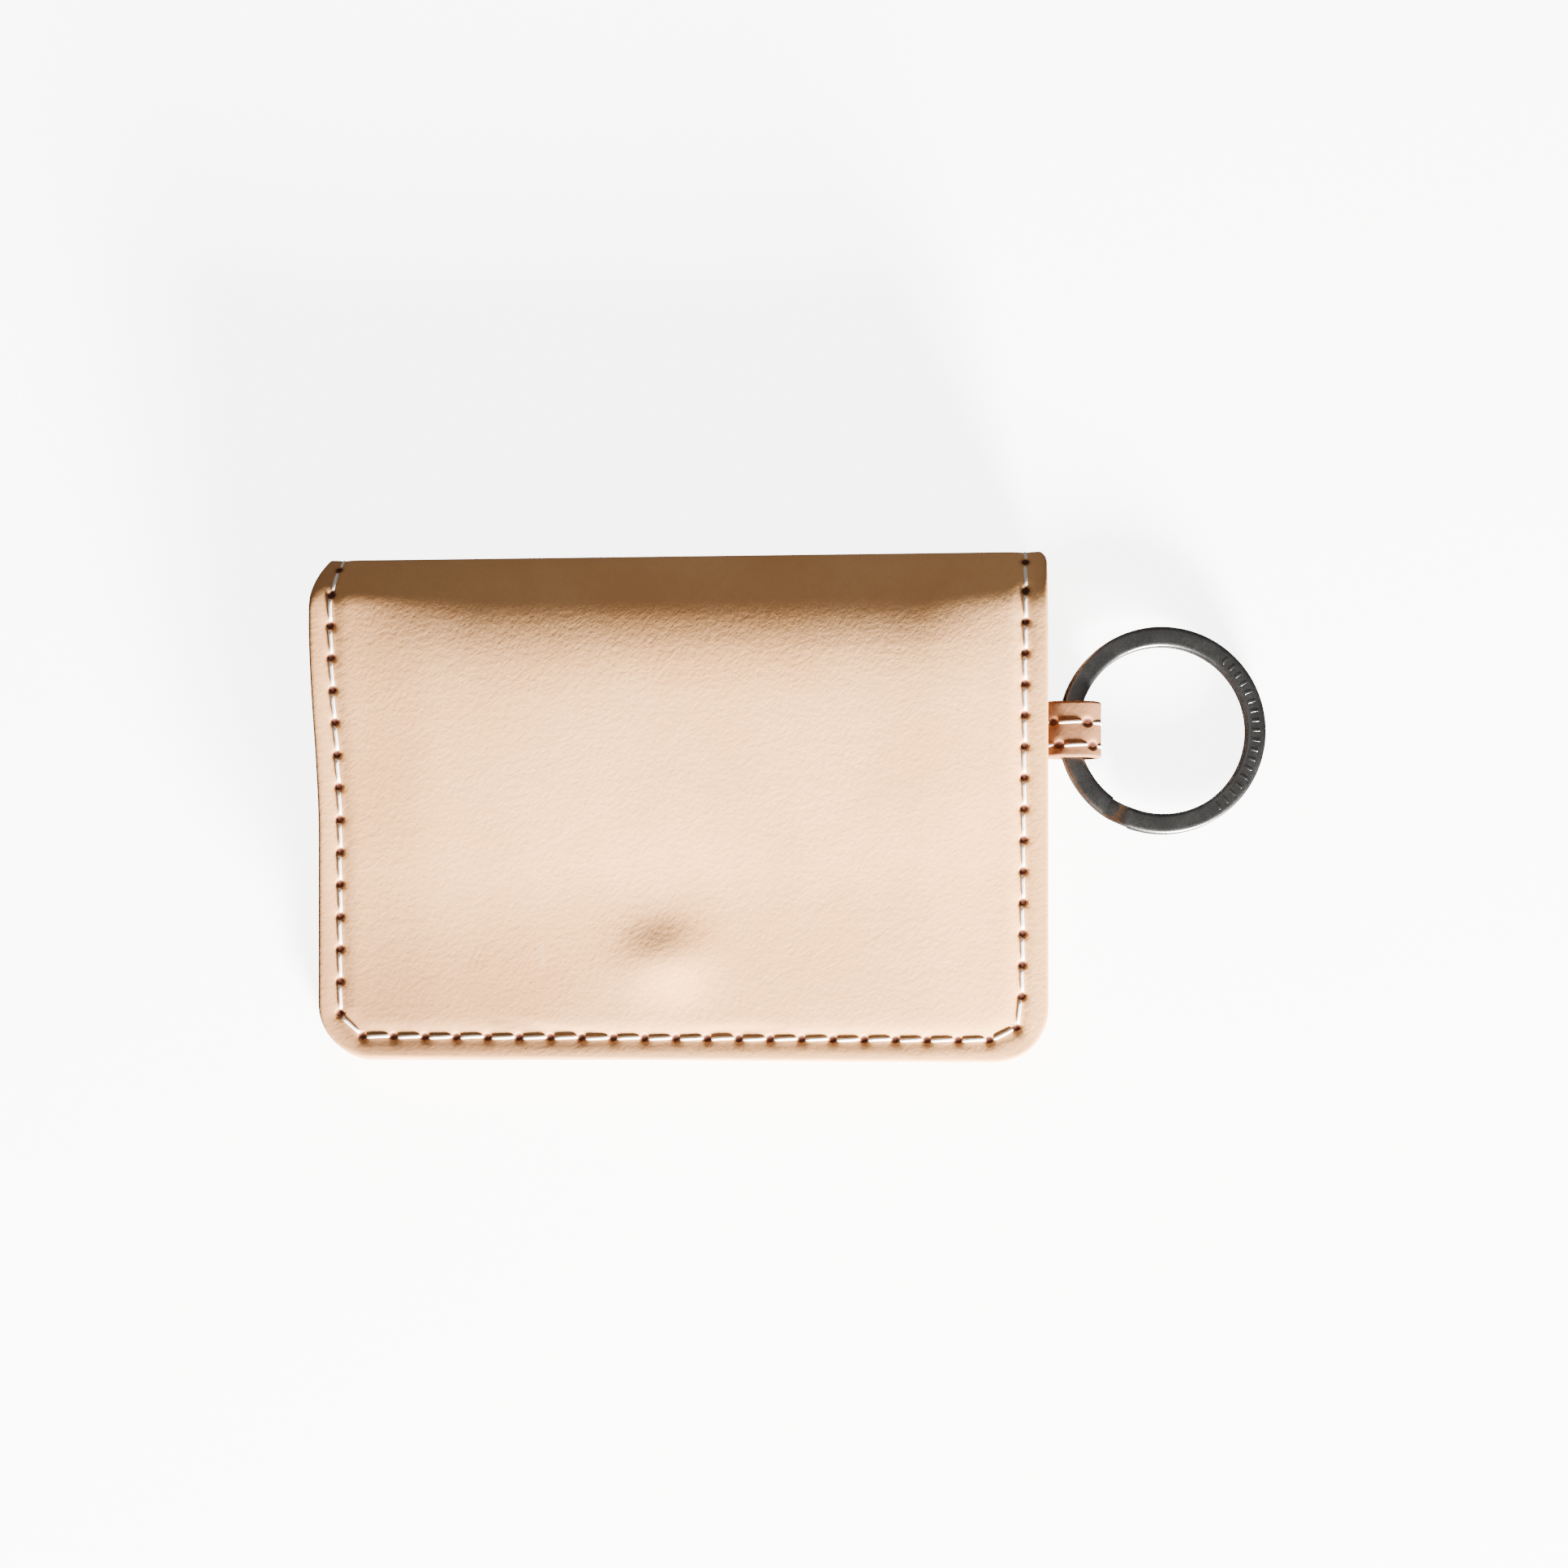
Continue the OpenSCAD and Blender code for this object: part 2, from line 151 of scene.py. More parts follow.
def to_line(points: Array, start: Array, end: Array) -> tuple[Array, Array]:
    """Measures points against a straight line.

    Args:
        points: The points, one a row.
        start: One end of the line.
        end: Its other end.

    Returns:
        How far along the line each point lies, from 0 to 1, and its distance from the line.
    """
    run = end - start
    share = np.clip((points - start) @ run / (run @ run), 0, 1)
    return share, np.linalg.norm(points - start - share[:, None] * run, axis=1)


# ---- working in the viewport's way ----


def deselect() -> None:
    """Leaves nothing selected."""
    bpy.ops.object.select_all(action="DESELECT")


def coords(obj: bpy.types.Object) -> Array:
    """Reads the vertices of an object.

    Args:
        obj: The object.

    Returns:
        Its points, one a row.
    """
    co = np.empty(len(obj.data.vertices) * 3)
    obj.data.vertices.foreach_get("co", co)
    return co.reshape(-1, 3)


def set_coords(obj: bpy.types.Object, co: Array) -> None:
    """Moves the vertices of obj to co."""
    obj.data.vertices.foreach_set("co", np.ascontiguousarray(co, float).ravel())
    obj.data.update()


def activate(obj: bpy.types.Object) -> None:
    """Makes an object the only selected one and the active one.

    Args:
        obj: The object.
    """
    deselect()
    obj.select_set(True)
    bpy.context.view_layer.objects.active = obj


def take_new(name: str) -> bpy.types.Object:
    """Names the object that an operator has just made.

    Args:
        name: Its new name, which its mesh gets too.

    Returns:
        The object.
    """
    obj = bpy.context.active_object
    obj.name = name
    obj.data.name = name
    return obj


def in_edit_mode(obj: bpy.types.Object, work: Callable[[], None], select: str = "SELECT") -> None:
    """Runs mesh operators on obj.

    Args:
        obj: The object to edit.
        work: Calls the operators.
        select: What is selected before them, SELECT for all or DESELECT for nothing.
    """
    activate(obj)
    bpy.ops.object.mode_set(mode="EDIT")
    bpy.ops.mesh.select_all(action=select)
    work()
    bpy.ops.object.mode_set(mode="OBJECT")


def turn_outwards(obj: bpy.types.Object) -> None:
    """Makes the faces of obj point outwards."""
    in_edit_mode(obj, lambda: bpy.ops.mesh.normals_make_consistent(inside=False))


def turn_over(obj: bpy.types.Object) -> None:
    """Turns every face of obj the other way."""
    in_edit_mode(obj, lambda: bpy.ops.mesh.flip_normals())


def twin(obj: bpy.types.Object) -> bpy.types.Object:
    """Copies an object.

    Args:
        obj: The object.

    Returns:
        The copy, with a mesh of its own.
    """
    copy = obj.copy()
    copy.data = obj.data.copy()
    bpy.context.scene.collection.objects.link(copy)
    return copy


def join(name: str, parts: Sequence[bpy.types.Object]) -> bpy.types.Object:
    """Joins parts into one object.

    Args:
        name: Name of the whole.
        parts: The objects, the first of which becomes the whole.

    Returns:
        The joined object.
    """
    deselect()
    for part in parts:
        part.select_set(True)
    bpy.context.view_layer.objects.active = parts[0]
    bpy.ops.object.join()
    return take_new(name)


def shade(obj: bpy.types.Object, degrees: float = 35.0) -> None:
    """Shades obj smooth, but for edges sharper than degrees."""
    activate(obj)
    bpy.ops.object.shade_smooth_by_angle(angle=math.radians(degrees))


def face_normals(obj: bpy.types.Object) -> Array:
    """Reads the face normals of an object.

    Args:
        obj: The object.

    Returns:
        The normals, one a row.
    """
    normals = np.empty(len(obj.data.polygons) * 3)
    obj.data.polygons.foreach_get("normal", normals)
    return normals.reshape(-1, 3)


def store(obj: bpy.types.Object, name: str, values: Array) -> None:
    """Keeps one number per vertex for a material.

    Args:
        obj: The object.
        name: The name that the material asks for.
        values: The numbers.
    """
    layer = obj.data.attributes.get(name) or obj.data.attributes.new(name, "FLOAT", "POINT")
    layer.data.foreach_set("value", np.ascontiguousarray(values, np.float32))


def dress(obj: bpy.types.Object, *materials: bpy.types.Material) -> None:
    """Gives an object its materials.

    Args:
        obj: The object.
        materials: The materials, in the order of its slots.
    """
    obj.data.materials.clear()
    for material in materials:
        obj.data.materials.append(material)


def blank(name: str, columns: Array, rows: Array, thick: float,
          gone: Callable[[Array], Array] | None = None) -> bpy.types.Object:
    """A flat leather blank with its face up at height 0.

    Args:
        name: Name of the object.
        columns: Grid lines across.
        rows: Grid lines along.
        thick: Thickness of the leather.
        gone: Tells which faces are cut away, from the places of their middles.

    Returns:
        The blank, with its faces in the slots of Hide.
    """
    deselect()
    bpy.ops.mesh.primitive_grid_add(x_subdivisions=len(columns) - 1, y_subdivisions=len(rows) - 1, size=2)
    obj = take_new(name)
    co = coords(obj)
    i = np.rint((co[:, 0] + 1) / 2 * (len(columns) - 1)).astype(int)
    j = np.rint((co[:, 1] + 1) / 2 * (len(rows) - 1)).astype(int)
    set_coords(obj, np.column_stack([columns[i], rows[j], np.zeros(len(co))]))
    if gone is not None:
        middles = np.empty(len(obj.data.polygons) * 3)
        obj.data.polygons.foreach_get("center", middles)
        cut = gone(middles.reshape(-1, 3))

        def cut_away() -> None:
            """Deletes the faces that are cut away."""
            bpy.ops.object.mode_set(mode="OBJECT")
            obj.data.polygons.foreach_set("select", cut)
            bpy.ops.object.mode_set(mode="EDIT")
            bpy.ops.mesh.delete(type="FACE")

        in_edit_mode(obj, cut_away, "DESELECT")

    def give_thickness() -> None:
        """Draws the sheet down into a slab, and turns it right way out."""
        bpy.ops.mesh.extrude_region_move(TRANSFORM_OT_translate={"value": (0, 0, -thick)})
        bpy.ops.mesh.select_all(action="SELECT")
        bpy.ops.mesh.normals_make_consistent(inside=False)

    in_edit_mode(obj, give_thickness)
    up = face_normals(obj)[:, 2]
    slots = np.where(up > 0.5, Hide.FACE.value, np.where(up < -0.5, Hide.FLESH.value, Hide.EDGE.value))
    for _ in Hide:
        obj.data.materials.append(None)
    obj.data.polygons.foreach_set("material_index", slots.astype(np.int32))
    return obj


def form(obj: bpy.types.Object, former: Former, flip: bool = False) -> bpy.types.Object:
    """Bends a flat piece into its place on the holder.

    Args:
        obj: The flat piece, in millimetres.
        former: Takes its points and returns their places, in millimetres.
        flip: Whether the forming mirrors the piece, so that its faces have to be turned back.

    Returns:
        The same object, in metres.
    """
    set_coords(obj, former(coords(obj)) * MM)
    if flip:
        turn_over(obj)
    return obj


def lathe(name: str, profile: Sequence[tuple[float, float]], turn: float = 360.0,
          steps: int = 96) -> bpy.types.Object:
    """Spins a closed outline round the Z axis.

    Args:
        name: Name of the object.
        profile: Corners of the outline as distance from the axis and height.
        turn: How far it is spun, in degrees.
        steps: How many times it is copied on the way.

    Returns:
        The spun object, whose vertices follow the spin in order, its two ends open if turn isn't 360.
    """
    deselect()
    bpy.ops.mesh.primitive_circle_add(vertices=len(profile), radius=1, fill_type="NOTHING")
    obj = take_new(name)
    outline = np.array(profile, float)
    set_coords(obj, np.column_stack([outline[:, 0], np.zeros(len(outline)), outline[:, 1]]))

    def spin() -> None:
        """Spins the outline and closes its seam and its poles."""
        bpy.ops.mesh.spin(steps=steps, angle=math.radians(turn), center=(0, 0, 0), axis=(0, 0, 1))
        if turn == 360.0:
            bpy.ops.mesh.select_all(action="SELECT")
            bpy.ops.mesh.remove_doubles(threshold=1e-5)
            bpy.ops.mesh.normals_make_consistent(inside=False)

    in_edit_mode(obj, spin)
    return obj


# ---- node materials ----


class Nodes:
    """Builds one node material, a node at a time."""

    def __init__(self, name: str) -> None:
        """Starts an empty material.

        Args:
            name: Its name.
        """
        self.material = bpy.data.materials.new(name)
        self.material.use_nodes = True
        self.tree = self.material.node_tree
        self.tree.nodes.clear()
        self.place = self.add("ShaderNodeTexCoord").outputs["Object"]

    def add(self, kind: str, **settings: object) -> bpy.types.Node:
        """Adds a node of that kind.

        Args:
            kind: Its type.
            settings: Its own properties.

        Returns:
            The node.
        """
        node = self.tree.nodes.new(kind)
        for key, value in settings.items():
            setattr(node, key, value)
        return node

    def put(self, value: object, socket: bpy.types.NodeSocket) -> None:
        """Links an output to a socket, or sets the socket's own value.

        Args:
            value: An output, a number, or a vector or colour of three numbers.
            socket: The input that takes it.
        """
        if isinstance(value, bpy.types.NodeSocket):
            self.tree.links.new(value, socket)
        elif isinstance(value, tuple) and len(value) == 3 and socket.type == "RGBA":
            socket.default_value = (*value, 1.0)
        else:
            socket.default_value = value

    def math(self, operation: str, a: object, b: object = 0.0) -> bpy.types.NodeSocket:
        """Adds a math node.

        Args:
            operation: Its operation.
            a: First value.
            b: Second value.

        Returns:
            The result.
        """
        node = self.add("ShaderNodeMath", operation=operation)
        self.put(a, node.inputs[0])
        self.put(b, node.inputs[1])
        return node.outputs[0]

    def mix(self, share: object, a: object, b: object) -> bpy.types.NodeSocket:
        """Adds a node that mixes two colours.

        Args:
            share: Share of the second colour.
            a: First colour.
            b: Second colour.

        Returns:
            The mixed colour.
        """
        node = self.add("ShaderNodeMix", data_type="RGBA")
        self.put(share, node.inputs[0])
        self.put(a, node.inputs[6])
        self.put(b, node.inputs[7])
        return node.outputs[2]

    def ramp(self, value: object, low: float, high: float, to_low: float = 0.0,
             to_high: float = 1.0) -> bpy.types.NodeSocket:
        """Maps a value softly to another range.

        Args:
            value: The value.
            low: The value that gives to_low.
            high: The value that gives to_high.
            to_low: The result at low.
            to_high: The result at high.

        Returns:
            The mapped value.
        """
        node = self.add("ShaderNodeMapRange", interpolation_type="SMOOTHSTEP")
        for socket, number in zip(node.inputs, (value, low, high, to_low, to_high)):
            self.put(number, socket)
        return node.outputs[0]

    def noise(self, size: float, detail: float = 3.0, rough: float = 0.5,
              stretch: tuple[float, float, float] = (1, 1, 1), turn: float = 0.0) -> bpy.types.NodeSocket:
        """Adds a cloudy pattern.

        Args:
            size: Rough size of its features, in millimetres.
            detail: How many finer layers it has.
            rough: How strong the finer layers are.
            stretch: How far it is drawn out along each axis.
            turn: How far it is turned round Z, in degrees.

        Returns:
            The pattern, from 0 to 1.
        """
        mapping = self.add("ShaderNodeMapping", vector_type="TEXTURE")
        self.put(self.place, mapping.inputs["Vector"])
        mapping.inputs["Scale"].default_value = stretch
        mapping.inputs["Rotation"].default_value = (0, 0, math.radians(turn))
        node = self.add("ShaderNodeTexNoise")
        self.put(mapping.outputs[0], node.inputs["Vector"])
        node.inputs["Scale"].default_value = 1 / (size * MM)
        node.inputs["Detail"].default_value = detail
        node.inputs["Roughness"].default_value = rough
        return node.outputs["Fac"]

    def cells(self, size: float, feature: str = "F1") -> bpy.types.NodeSocket:
        """Adds a pattern of cells.

        Args:
            size: Rough width of a cell, in millimetres.
            feature: Which distance it gives.

        Returns:
            The distance.
        """
        node = self.add("ShaderNodeTexVoronoi", feature=feature)
        self.put(self.place, node.inputs["Vector"])
        node.inputs["Scale"].default_value = 1 / (size * MM)
        return node.outputs["Distance"]

    def kept(self, name: str) -> bpy.types.NodeSocket:
        """Returns the number that the mesh keeps under name."""
        return self.add("ShaderNodeAttribute", attribute_name=name).outputs["Fac"]

    def from_hole(self) -> bpy.types.NodeSocket:
        """Measures the distance to the nearest stitch hole.

        Returns:
            The distance, in millimetres.
        """
        along = self.math("MULTIPLY", self.math("PINGPONG", self.kept("stitch"), 0.5), STITCH_PITCH)
        across = self.kept("seam_gap")
        square_along = self.math("MULTIPLY", along, along)
        square_across = self.math("MULTIPLY", across, across)
        return self.math("SQRT", self.math("ADD", square_along, square_across))

    def bump(self, height: object, depth: float, under: object = None) -> bpy.types.NodeSocket:
        """Adds a relief to the surface.

        Args:
            height: The pattern that makes it, from 0 to 1.
            depth: Its depth, in millimetres.
            under: The normal of a coarser relief that it is laid over.

        Returns:
            The normal.
        """
        node = self.add("ShaderNodeBump")
        node.inputs["Strength"].default_value = 1.0
        node.inputs["Distance"].default_value = depth * MM
        self.put(height, node.inputs["Height"])
        if under is not None:
            self.put(under, node.inputs["Normal"])
        return node.outputs["Normal"]

    def surface(self, **values: object) -> bpy.types.Material:
        """Ends the material with a principled surface.

        Args:
            values: Its inputs, with spaces in their names written as underscores.

        Returns:
            The finished material.
        """
        shader = self.add("ShaderNodeBsdfPrincipled")
        for key, value in values.items():
            self.put(value, shader.inputs[key.replace("_", " ")])
        output = self.add("ShaderNodeOutputMaterial")
        self.tree.links.new(shader.outputs[0], output.inputs[0])
        return self.material


@dataclass(frozen=True)
class TannedLeather:
    """Pale vegetable-tanned leather with a fine pebbled grain."""

    name: str = "tanned_leather"
    pale: tuple[float, float, float] = (0.76, 0.400, 0.168)
    warm: tuple[float, float, float] = (0.64, 0.300, 0.108)
    scuff: tuple[float, float, float] = (0.86, 0.56, 0.32)
    # The dark tone of the worn rim, and of the painted shade towards the lower left, on the margins and at
    # the loop's roots.
    tanned: tuple[float, float, float] = (0.24, 0.105, 0.042)
    # Brown of the painted shade round the stitch holes.
    hole_shade: tuple[float, float, float] = (0.42, 0.17, 0.055)
    pebble: float = 0.62
    pebble_depth: float = 0.030
    grain_depth: float = 0.022
    wrinkle_depth: float = 0.028
    mottle_depth: float = 0.012
    dimple_depth: float = 0.32

    def build(self) -> bpy.types.Material:
        """Builds the material of the hide's face.

        Returns:
            The material.
        """
        n = Nodes(self.name)
        clouds = n.ramp(n.noise(16, 4), 0.34, 0.70)
        mottle = n.ramp(n.noise(2.6, 4, 0.6), 0.35, 0.75)
        pebbles = n.cells(self.pebble, "SMOOTH_F1")
        grain = n.noise(0.22, 4, 0.65)
        wrinkles = n.noise(0.34, 3, 0.6, (2.6, 1, 1), 38)
        specks = n.math("MULTIPLY", n.ramp(n.cells(2.9), 0.085, 0.03), n.ramp(n.noise(7, 2), 0.56, 0.66))
        away = n.from_hole()
        hole = n.ramp(away, HOLE_RIM_R, HOLE_CORE_R)
        colour = n.mix(n.math("MULTIPLY", clouds, 0.55), self.pale, self.warm)
        colour = n.mix(n.math("MULTIPLY", mottle, 0.22), colour, self.warm)
        colour = n.mix(n.ramp(pebbles, 0.2, 0.75, 0.0, 0.16), colour, self.warm)
        colour = n.mix(n.math("MULTIPLY", specks, 0.5), colour, DARK_DIRT_AND_SHADE)
        colour = n.mix(n.math("MULTIPLY", n.kept("scratch"), 0.30), colour, self.scuff)
        # Painted shade and real edge darkening: the kept mask pulls the colour to the dark tone towards the
        # lower left, on the margins and at the loop's roots, and along the worn rim.
        colour = n.mix(n.math("MULTIPLY", n.kept("tan"), 0.75), colour, self.tanned)
        # Painted shade: a brown ring round each stitch hole, where the hide dips into it.
        colour = n.mix(n.ramp(away, 1.35, 0.45, 0, 0.45), colour, self.hole_shade)
        # Real dark specks, plus painted shade along a creased line on the front.
        colour = n.mix(n.kept("specks_and_crease_shade"), colour, DARK_DIRT_AND_SHADE)
        # Painted shade: the stitch holes coloured dark where their depth would lie in shade.
        colour = n.mix(hole, colour, DARK_DIRT_AND_SHADE)
        rough = n.math("ADD", n.ramp(mottle, 0, 1, 0.56, 0.66), n.math("MULTIPLY", grain, 0.1))
        relief = n.bump(pebbles, self.pebble_depth, n.bump(mottle, self.mottle_depth))
        relief = n.bump(grain, self.grain_depth, n.bump(wrinkles, self.wrinkle_depth, relief))
        relief = n.bump(n.ramp(away, *DIMPLE_R), self.dimple_depth, relief)
        return n.surface(Base_Color=colour, Roughness=rough, Normal=relief, Specular_IOR_Level=0.14)


@dataclass(frozen=True)
class CutEdge:
    """The cut and burnished edge of the leather, warm brown with lengthwise fibres."""

    light: tuple[float, float, float] = (0.30, 0.115, 0.038)
    dark: tuple[float, float, float] = (0.12, 0.042, 0.014)

    def build(self) -> bpy.types.Material:
        """Builds the material of cut edges.

        Returns:
            The material.
        """
        n = Nodes("cut_edge")
        fibres = n.noise(0.3, 4, 0.7, (4, 4, 0.5))
        blotch = n.noise(4, 3)
        colour = n.mix(n.ramp(fibres, 0.3, 0.72), self.light, self.dark)
        colour = n.mix(n.ramp(blotch, 0.4, 0.7, 0, 0.4), colour, self.dark)
        return n.surface(Base_Color=colour, Roughness=n.ramp(fibres, 0.2, 0.8, 0.42, 0.65),
                         Normal=n.bump(fibres, 0.06))


@dataclass(frozen=True)
class FleshSide:
    """The suede-like back of the leather, and the soft inner pockets."""

    name: str = "flesh_side"
    light: tuple[float, float, float] = (0.50, 0.27, 0.125)
    dark: tuple[float, float, float] = (0.34, 0.165, 0.07)

    def build(self) -> bpy.types.Material:
        """Builds the material of the flesh side.

        Returns:
            The material.
        """
        n = Nodes(self.name)
        nap = n.noise(0.35, 5, 0.75)
        clouds = n.noise(9, 4)
        colour = n.mix(n.ramp(clouds, 0.35, 0.7), self.light, self.dark)
        colour = n.mix(n.ramp(nap, 0.35, 0.75, 0, 0.45), colour, self.dark)
        return n.surface(Base_Color=colour, Roughness=0.88, Sheen_Weight=0.25, Sheen_Roughness=0.5,
                         Normal=n.bump(nap, 0.05))


@dataclass(frozen=True)
class PocketLeather:
    """The smooth inner leather of the pockets and the fold's lining."""

    light: tuple[float, float, float] = (0.56, 0.29, 0.125)
    dark: tuple[float, float, float] = (0.40, 0.18, 0.07)
    pebble_depth: float = 0.02
    grain_depth: float = 0.01
    dimple_depth: float = 0.3

    def build(self) -> bpy.types.Material:
        """Builds the material of the inner leather.

        Returns:
            The material.
        """
        n = Nodes("pocket_leather")
        pebbles = n.cells(0.5, "SMOOTH_F1")
        clouds = n.noise(12, 4)
        grain = n.noise(0.2, 4, 0.6)
        colour = n.mix(n.ramp(clouds, 0.35, 0.7), self.light, self.dark)
        colour = n.mix(n.ramp(pebbles, 0.2, 0.8, 0, 0.25), colour, self.dark)
        away = n.from_hole()
        # Painted shade: the stitch holes coloured dark where their depth would lie in shade.
        colour = n.mix(n.ramp(away, HOLE_RIM_R, HOLE_CORE_R), colour, DARK_DIRT_AND_SHADE)
        relief = n.bump(grain, self.grain_depth, n.bump(pebbles, self.pebble_depth))
        relief = n.bump(n.ramp(away, *DIMPLE_R), self.dimple_depth, relief)
        return n.surface(Base_Color=colour, Roughness=n.ramp(grain, 0.3, 0.7, 0.5, 0.62), Normal=relief)


@dataclass(frozen=True)
class WaxedThread:
    """White waxed two-ply thread."""

    light: tuple[float, float, float] = (0.90, 0.84, 0.76)
    shade: tuple[float, float, float] = (0.62, 0.48, 0.37)

    def build(self) -> bpy.types.Material:
        """Builds the material of the thread, darker where it goes down its holes.

        Returns:
            The material.
        """
        n = Nodes("waxed_thread")
        fibres = n.noise(0.12, 3, 0.6)
        colour = n.mix(n.ramp(fibres, 0.3, 0.8, 0, 0.3), self.light, self.shade)
        colour = n.mix(n.kept("sunk"), colour, self.shade)
        return n.surface(Base_Color=colour, Roughness=0.55, Sheen_Weight=0.15, Normal=n.bump(fibres, 0.03))


@dataclass(frozen=True)
class PlatedMetal:
    """Plated metal with a fine brushed surface and light scuffs."""

    name: str
    colour: tuple[float, float, float]
    worn: tuple[float, float, float]
    rough: float

    def build(self) -> bpy.types.Material:
        """Builds the material of the plating.

        Returns:
            The material.
        """
        n = Nodes(self.name)
        haze = n.noise(3.5, 4, 0.6)
        brushed = n.noise(0.15, 3, 0.6, (1, 1, 3))
        scuffs = n.ramp(n.noise(0.9, 5, 0.75, (1, 3, 1)), 0.60, 0.72)
        colour = n.mix(n.ramp(haze, 0.4, 0.7, 0, 0.5), self.colour, self.worn)
        colour = n.mix(n.math("MULTIPLY", scuffs, 0.35), colour, self.worn)
        rough = n.ramp(brushed, 0.2, 0.8, self.rough - 0.06, self.rough + 0.10)
        return n.surface(Base_Color=colour, Metallic=1.0, Roughness=rough,
                         Normal=n.bump(brushed, 0.004, n.bump(haze, 0.01)))


@dataclass(frozen=True)
class ClearSheet:
    """Clear soft vinyl with faint ripples."""

    tint: tuple[float, float, float] = (0.93, 0.96, 0.95)

    def build(self) -> bpy.types.Material:
        """Builds the material of the window.

        Returns:
            The material.
        """
        n = Nodes("clear_sheet")
        ripples = n.noise(9, 3)
        return n.surface(Base_Color=self.tint, Roughness=n.ramp(ripples, 0.3, 0.7, 0.06, 0.16), IOR=1.5,
                         Transmission_Weight=1.0, Normal=n.bump(ripples, 0.25))


# ---- the form of the holder ----


@dataclass
class HolderForm:
    """The closed shape that every leather piece and stitch is bent to, in millimetres."""

    half_w: float
    half_h: float
    fold_r: float = 7.0
    wedge: float = math.radians(3.9966)
    front_len: float = 62.514
    back_len: float = 62.85
    corner_r: float = 7.5
    snap_x: float = -2.4
    snap_s: float = 48.65
    bump_h: float = 1.0
    bump_w: float = 6.0
    bump_l: float = 4.8
    pillow_h: float = 0.85
    lower_h: float = 0.85
    wave_h: float = 0.07
    settle_s: float = 24.0
    flare: float = 1.45
    margin_curl: tuple[float, float] = (1.2, 0.7)
    bulge: tuple[float, float] = (0.6, 0.65)
    skew: tuple[float, float] = (0.35, 0.4)
    stiff_sides: tuple[float, float] = (0.34, 0.42)
    roll_pace: float = 0.146
    roll_s: tuple[float, ...] = (-24, -16, -12, -8, -5, -3, -1, 0, 2.93, 5.85, 8.2, 10.07, 11.24)
    roll_slope: tuple[float, ...] = (0, 0.9, 2.3, 5.2, 8.8, 12.5, 17.5, 20.5, 30, 42, 56, 74, 92)

    @classmethod
    def in_frame(cls) -> "HolderForm":
        """Takes the holder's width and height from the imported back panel.

        Returns:
            The form.
        """
        low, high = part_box("back_panel")
        return cls(half_w=round(high[0] / MM, 4), half_h=round(-low[1] / MM, 4))

    def __post_init__(self) -> None:
        """Follows the slope of the rolled spine to get its middle line."""
        self.roll_at = np.linspace(-self.settle_s, self.spine_s, 353)
        slope = np.radians(np.interp(self.roll_at, self.roll_s, self.roll_slope))
        slope = eased(slope, 20)
        pace = 1 - self.roll_pace * ramp(self.roll_at, -0.5, 1.5)
        step = self.roll_at[1] - self.roll_at[0]
        self.roll_v = -self.settle_s + np.r_[0, np.cumsum(pace[1:] * np.cos(slope[1:]))] * step
        self.roll_w = self.fold_r + self.pillow_h - np.r_[0, np.cumsum(pace[1:] * np.sin(slope[1:]))] * step
        end = self.fold_r * np.array([math.sin(self.spine_turn), math.cos(self.spine_turn)])
        close = ramp(self.roll_at, -4, self.spine_s)
        self.roll_v += close * (end[0] - self.roll_v[-1])
        self.roll_w += close * (end[1] - self.roll_w[-1])
        slope[-1] = self.spine_turn
        self.roll_turn = slope

    @property
    def fold_y(self) -> float:
        """Where the fold begins, along Y."""
        return self.half_h - self.fold_r

    @property
    def spine_turn(self) -> float:
        """Half of the fold's angle, in radians."""
        return (math.pi + self.wedge) / 2

    @property
    def spine_s(self) -> float:
        """Length of hide from the fold line to the middle of the spine."""
        return self.fold_r * self.spine_turn

    def length(self, half: Half) -> float:
        """Returns the length of a half, from its fold line to its open edge."""
        return self.front_len if half is Half.FRONT else self.back_len

    def to_row(self, half: Half, x: Array, v: Array, w: Array) -> Array:
        """Takes points from a half's flat frame to the holder's.

        Args:
            half: The half whose frame it is.
            x: Across.
            v: Along the half, from the fold line.
            w: Outwards from the middle of the fold.

        Returns:
            The points, in millimetres.
        """
        if half is Half.BACK:
            return np.column_stack([x, self.fold_y + v, self.fold_r - w])
        c, s = math.cos(self.wedge), math.sin(self.wedge)
        return np.column_stack([x, self.fold_y + v * c - w * s, self.fold_r + v * s + w * c])

    def sideways(self, half: Half, x: Array, s: Array) -> Array:
        """Measures how far the hide has crept along X: it flares and curls at the ends of the fold.

        Args:
            half: The half that the hide covers.
            x: Across.
            s: Along.

        Returns:
            The creep.
        """
        front = half is Half.FRONT
        left = smooth(-x / self.half_w)
        creep = self.flare * left * (smooth(s / 11) - ramp(s, -32, -1)) if front else 0.0
        margin_l = np.clip((-x - 46.8) / 4, 0, 1)
        margin_r = np.clip((x - 46.8) / 4, 0, 1) ** 2
        curl_l = ramp(s, 1.5, 11) if front else smooth(s / 11)
        curl_r = ramp(s, 7, 11.2) if front else smooth(s / 11)
        return creep + self.margin_curl[0] * margin_l * curl_l - self.margin_curl[1] * margin_r * curl_r

    def tuck(self, x: Array, s: Array) -> Array:
        """Returns how far the spine bulges along Y, more at its right end."""
        return (self.bulge[0] + self.bulge[1] * x / self.half_w) * smooth(s / 9)

    def rise(self, x: Array, s: Array) -> Array:
        """Measures how far the front stands off its flat plane.

        Args:
            x: Across.
            s: Along.

        Returns:
            Its height: a low pillow with a faint wave, higher towards the open edge and over the snap.
        """
        inner = ramp(np.abs(x), self.half_w - 1.5, self.half_w - 17.5)
        pillow = self.pillow_h * inner * ramp(s, -61, -self.settle_s)
        wave = self.wave_h * inner * np.sin(x / 13.0 + 0.6) * np.sin(s / 11.0 + 0.3) * smooth(-s / 12)
        bump = self.bump_h * hump(np.hypot((x - self.snap_x) / self.bump_w, (s + self.snap_s) / self.bump_l))
        lower = self.lower_h * inner * ramp(s, -36, -60)
        return pillow + wave + bump + lower

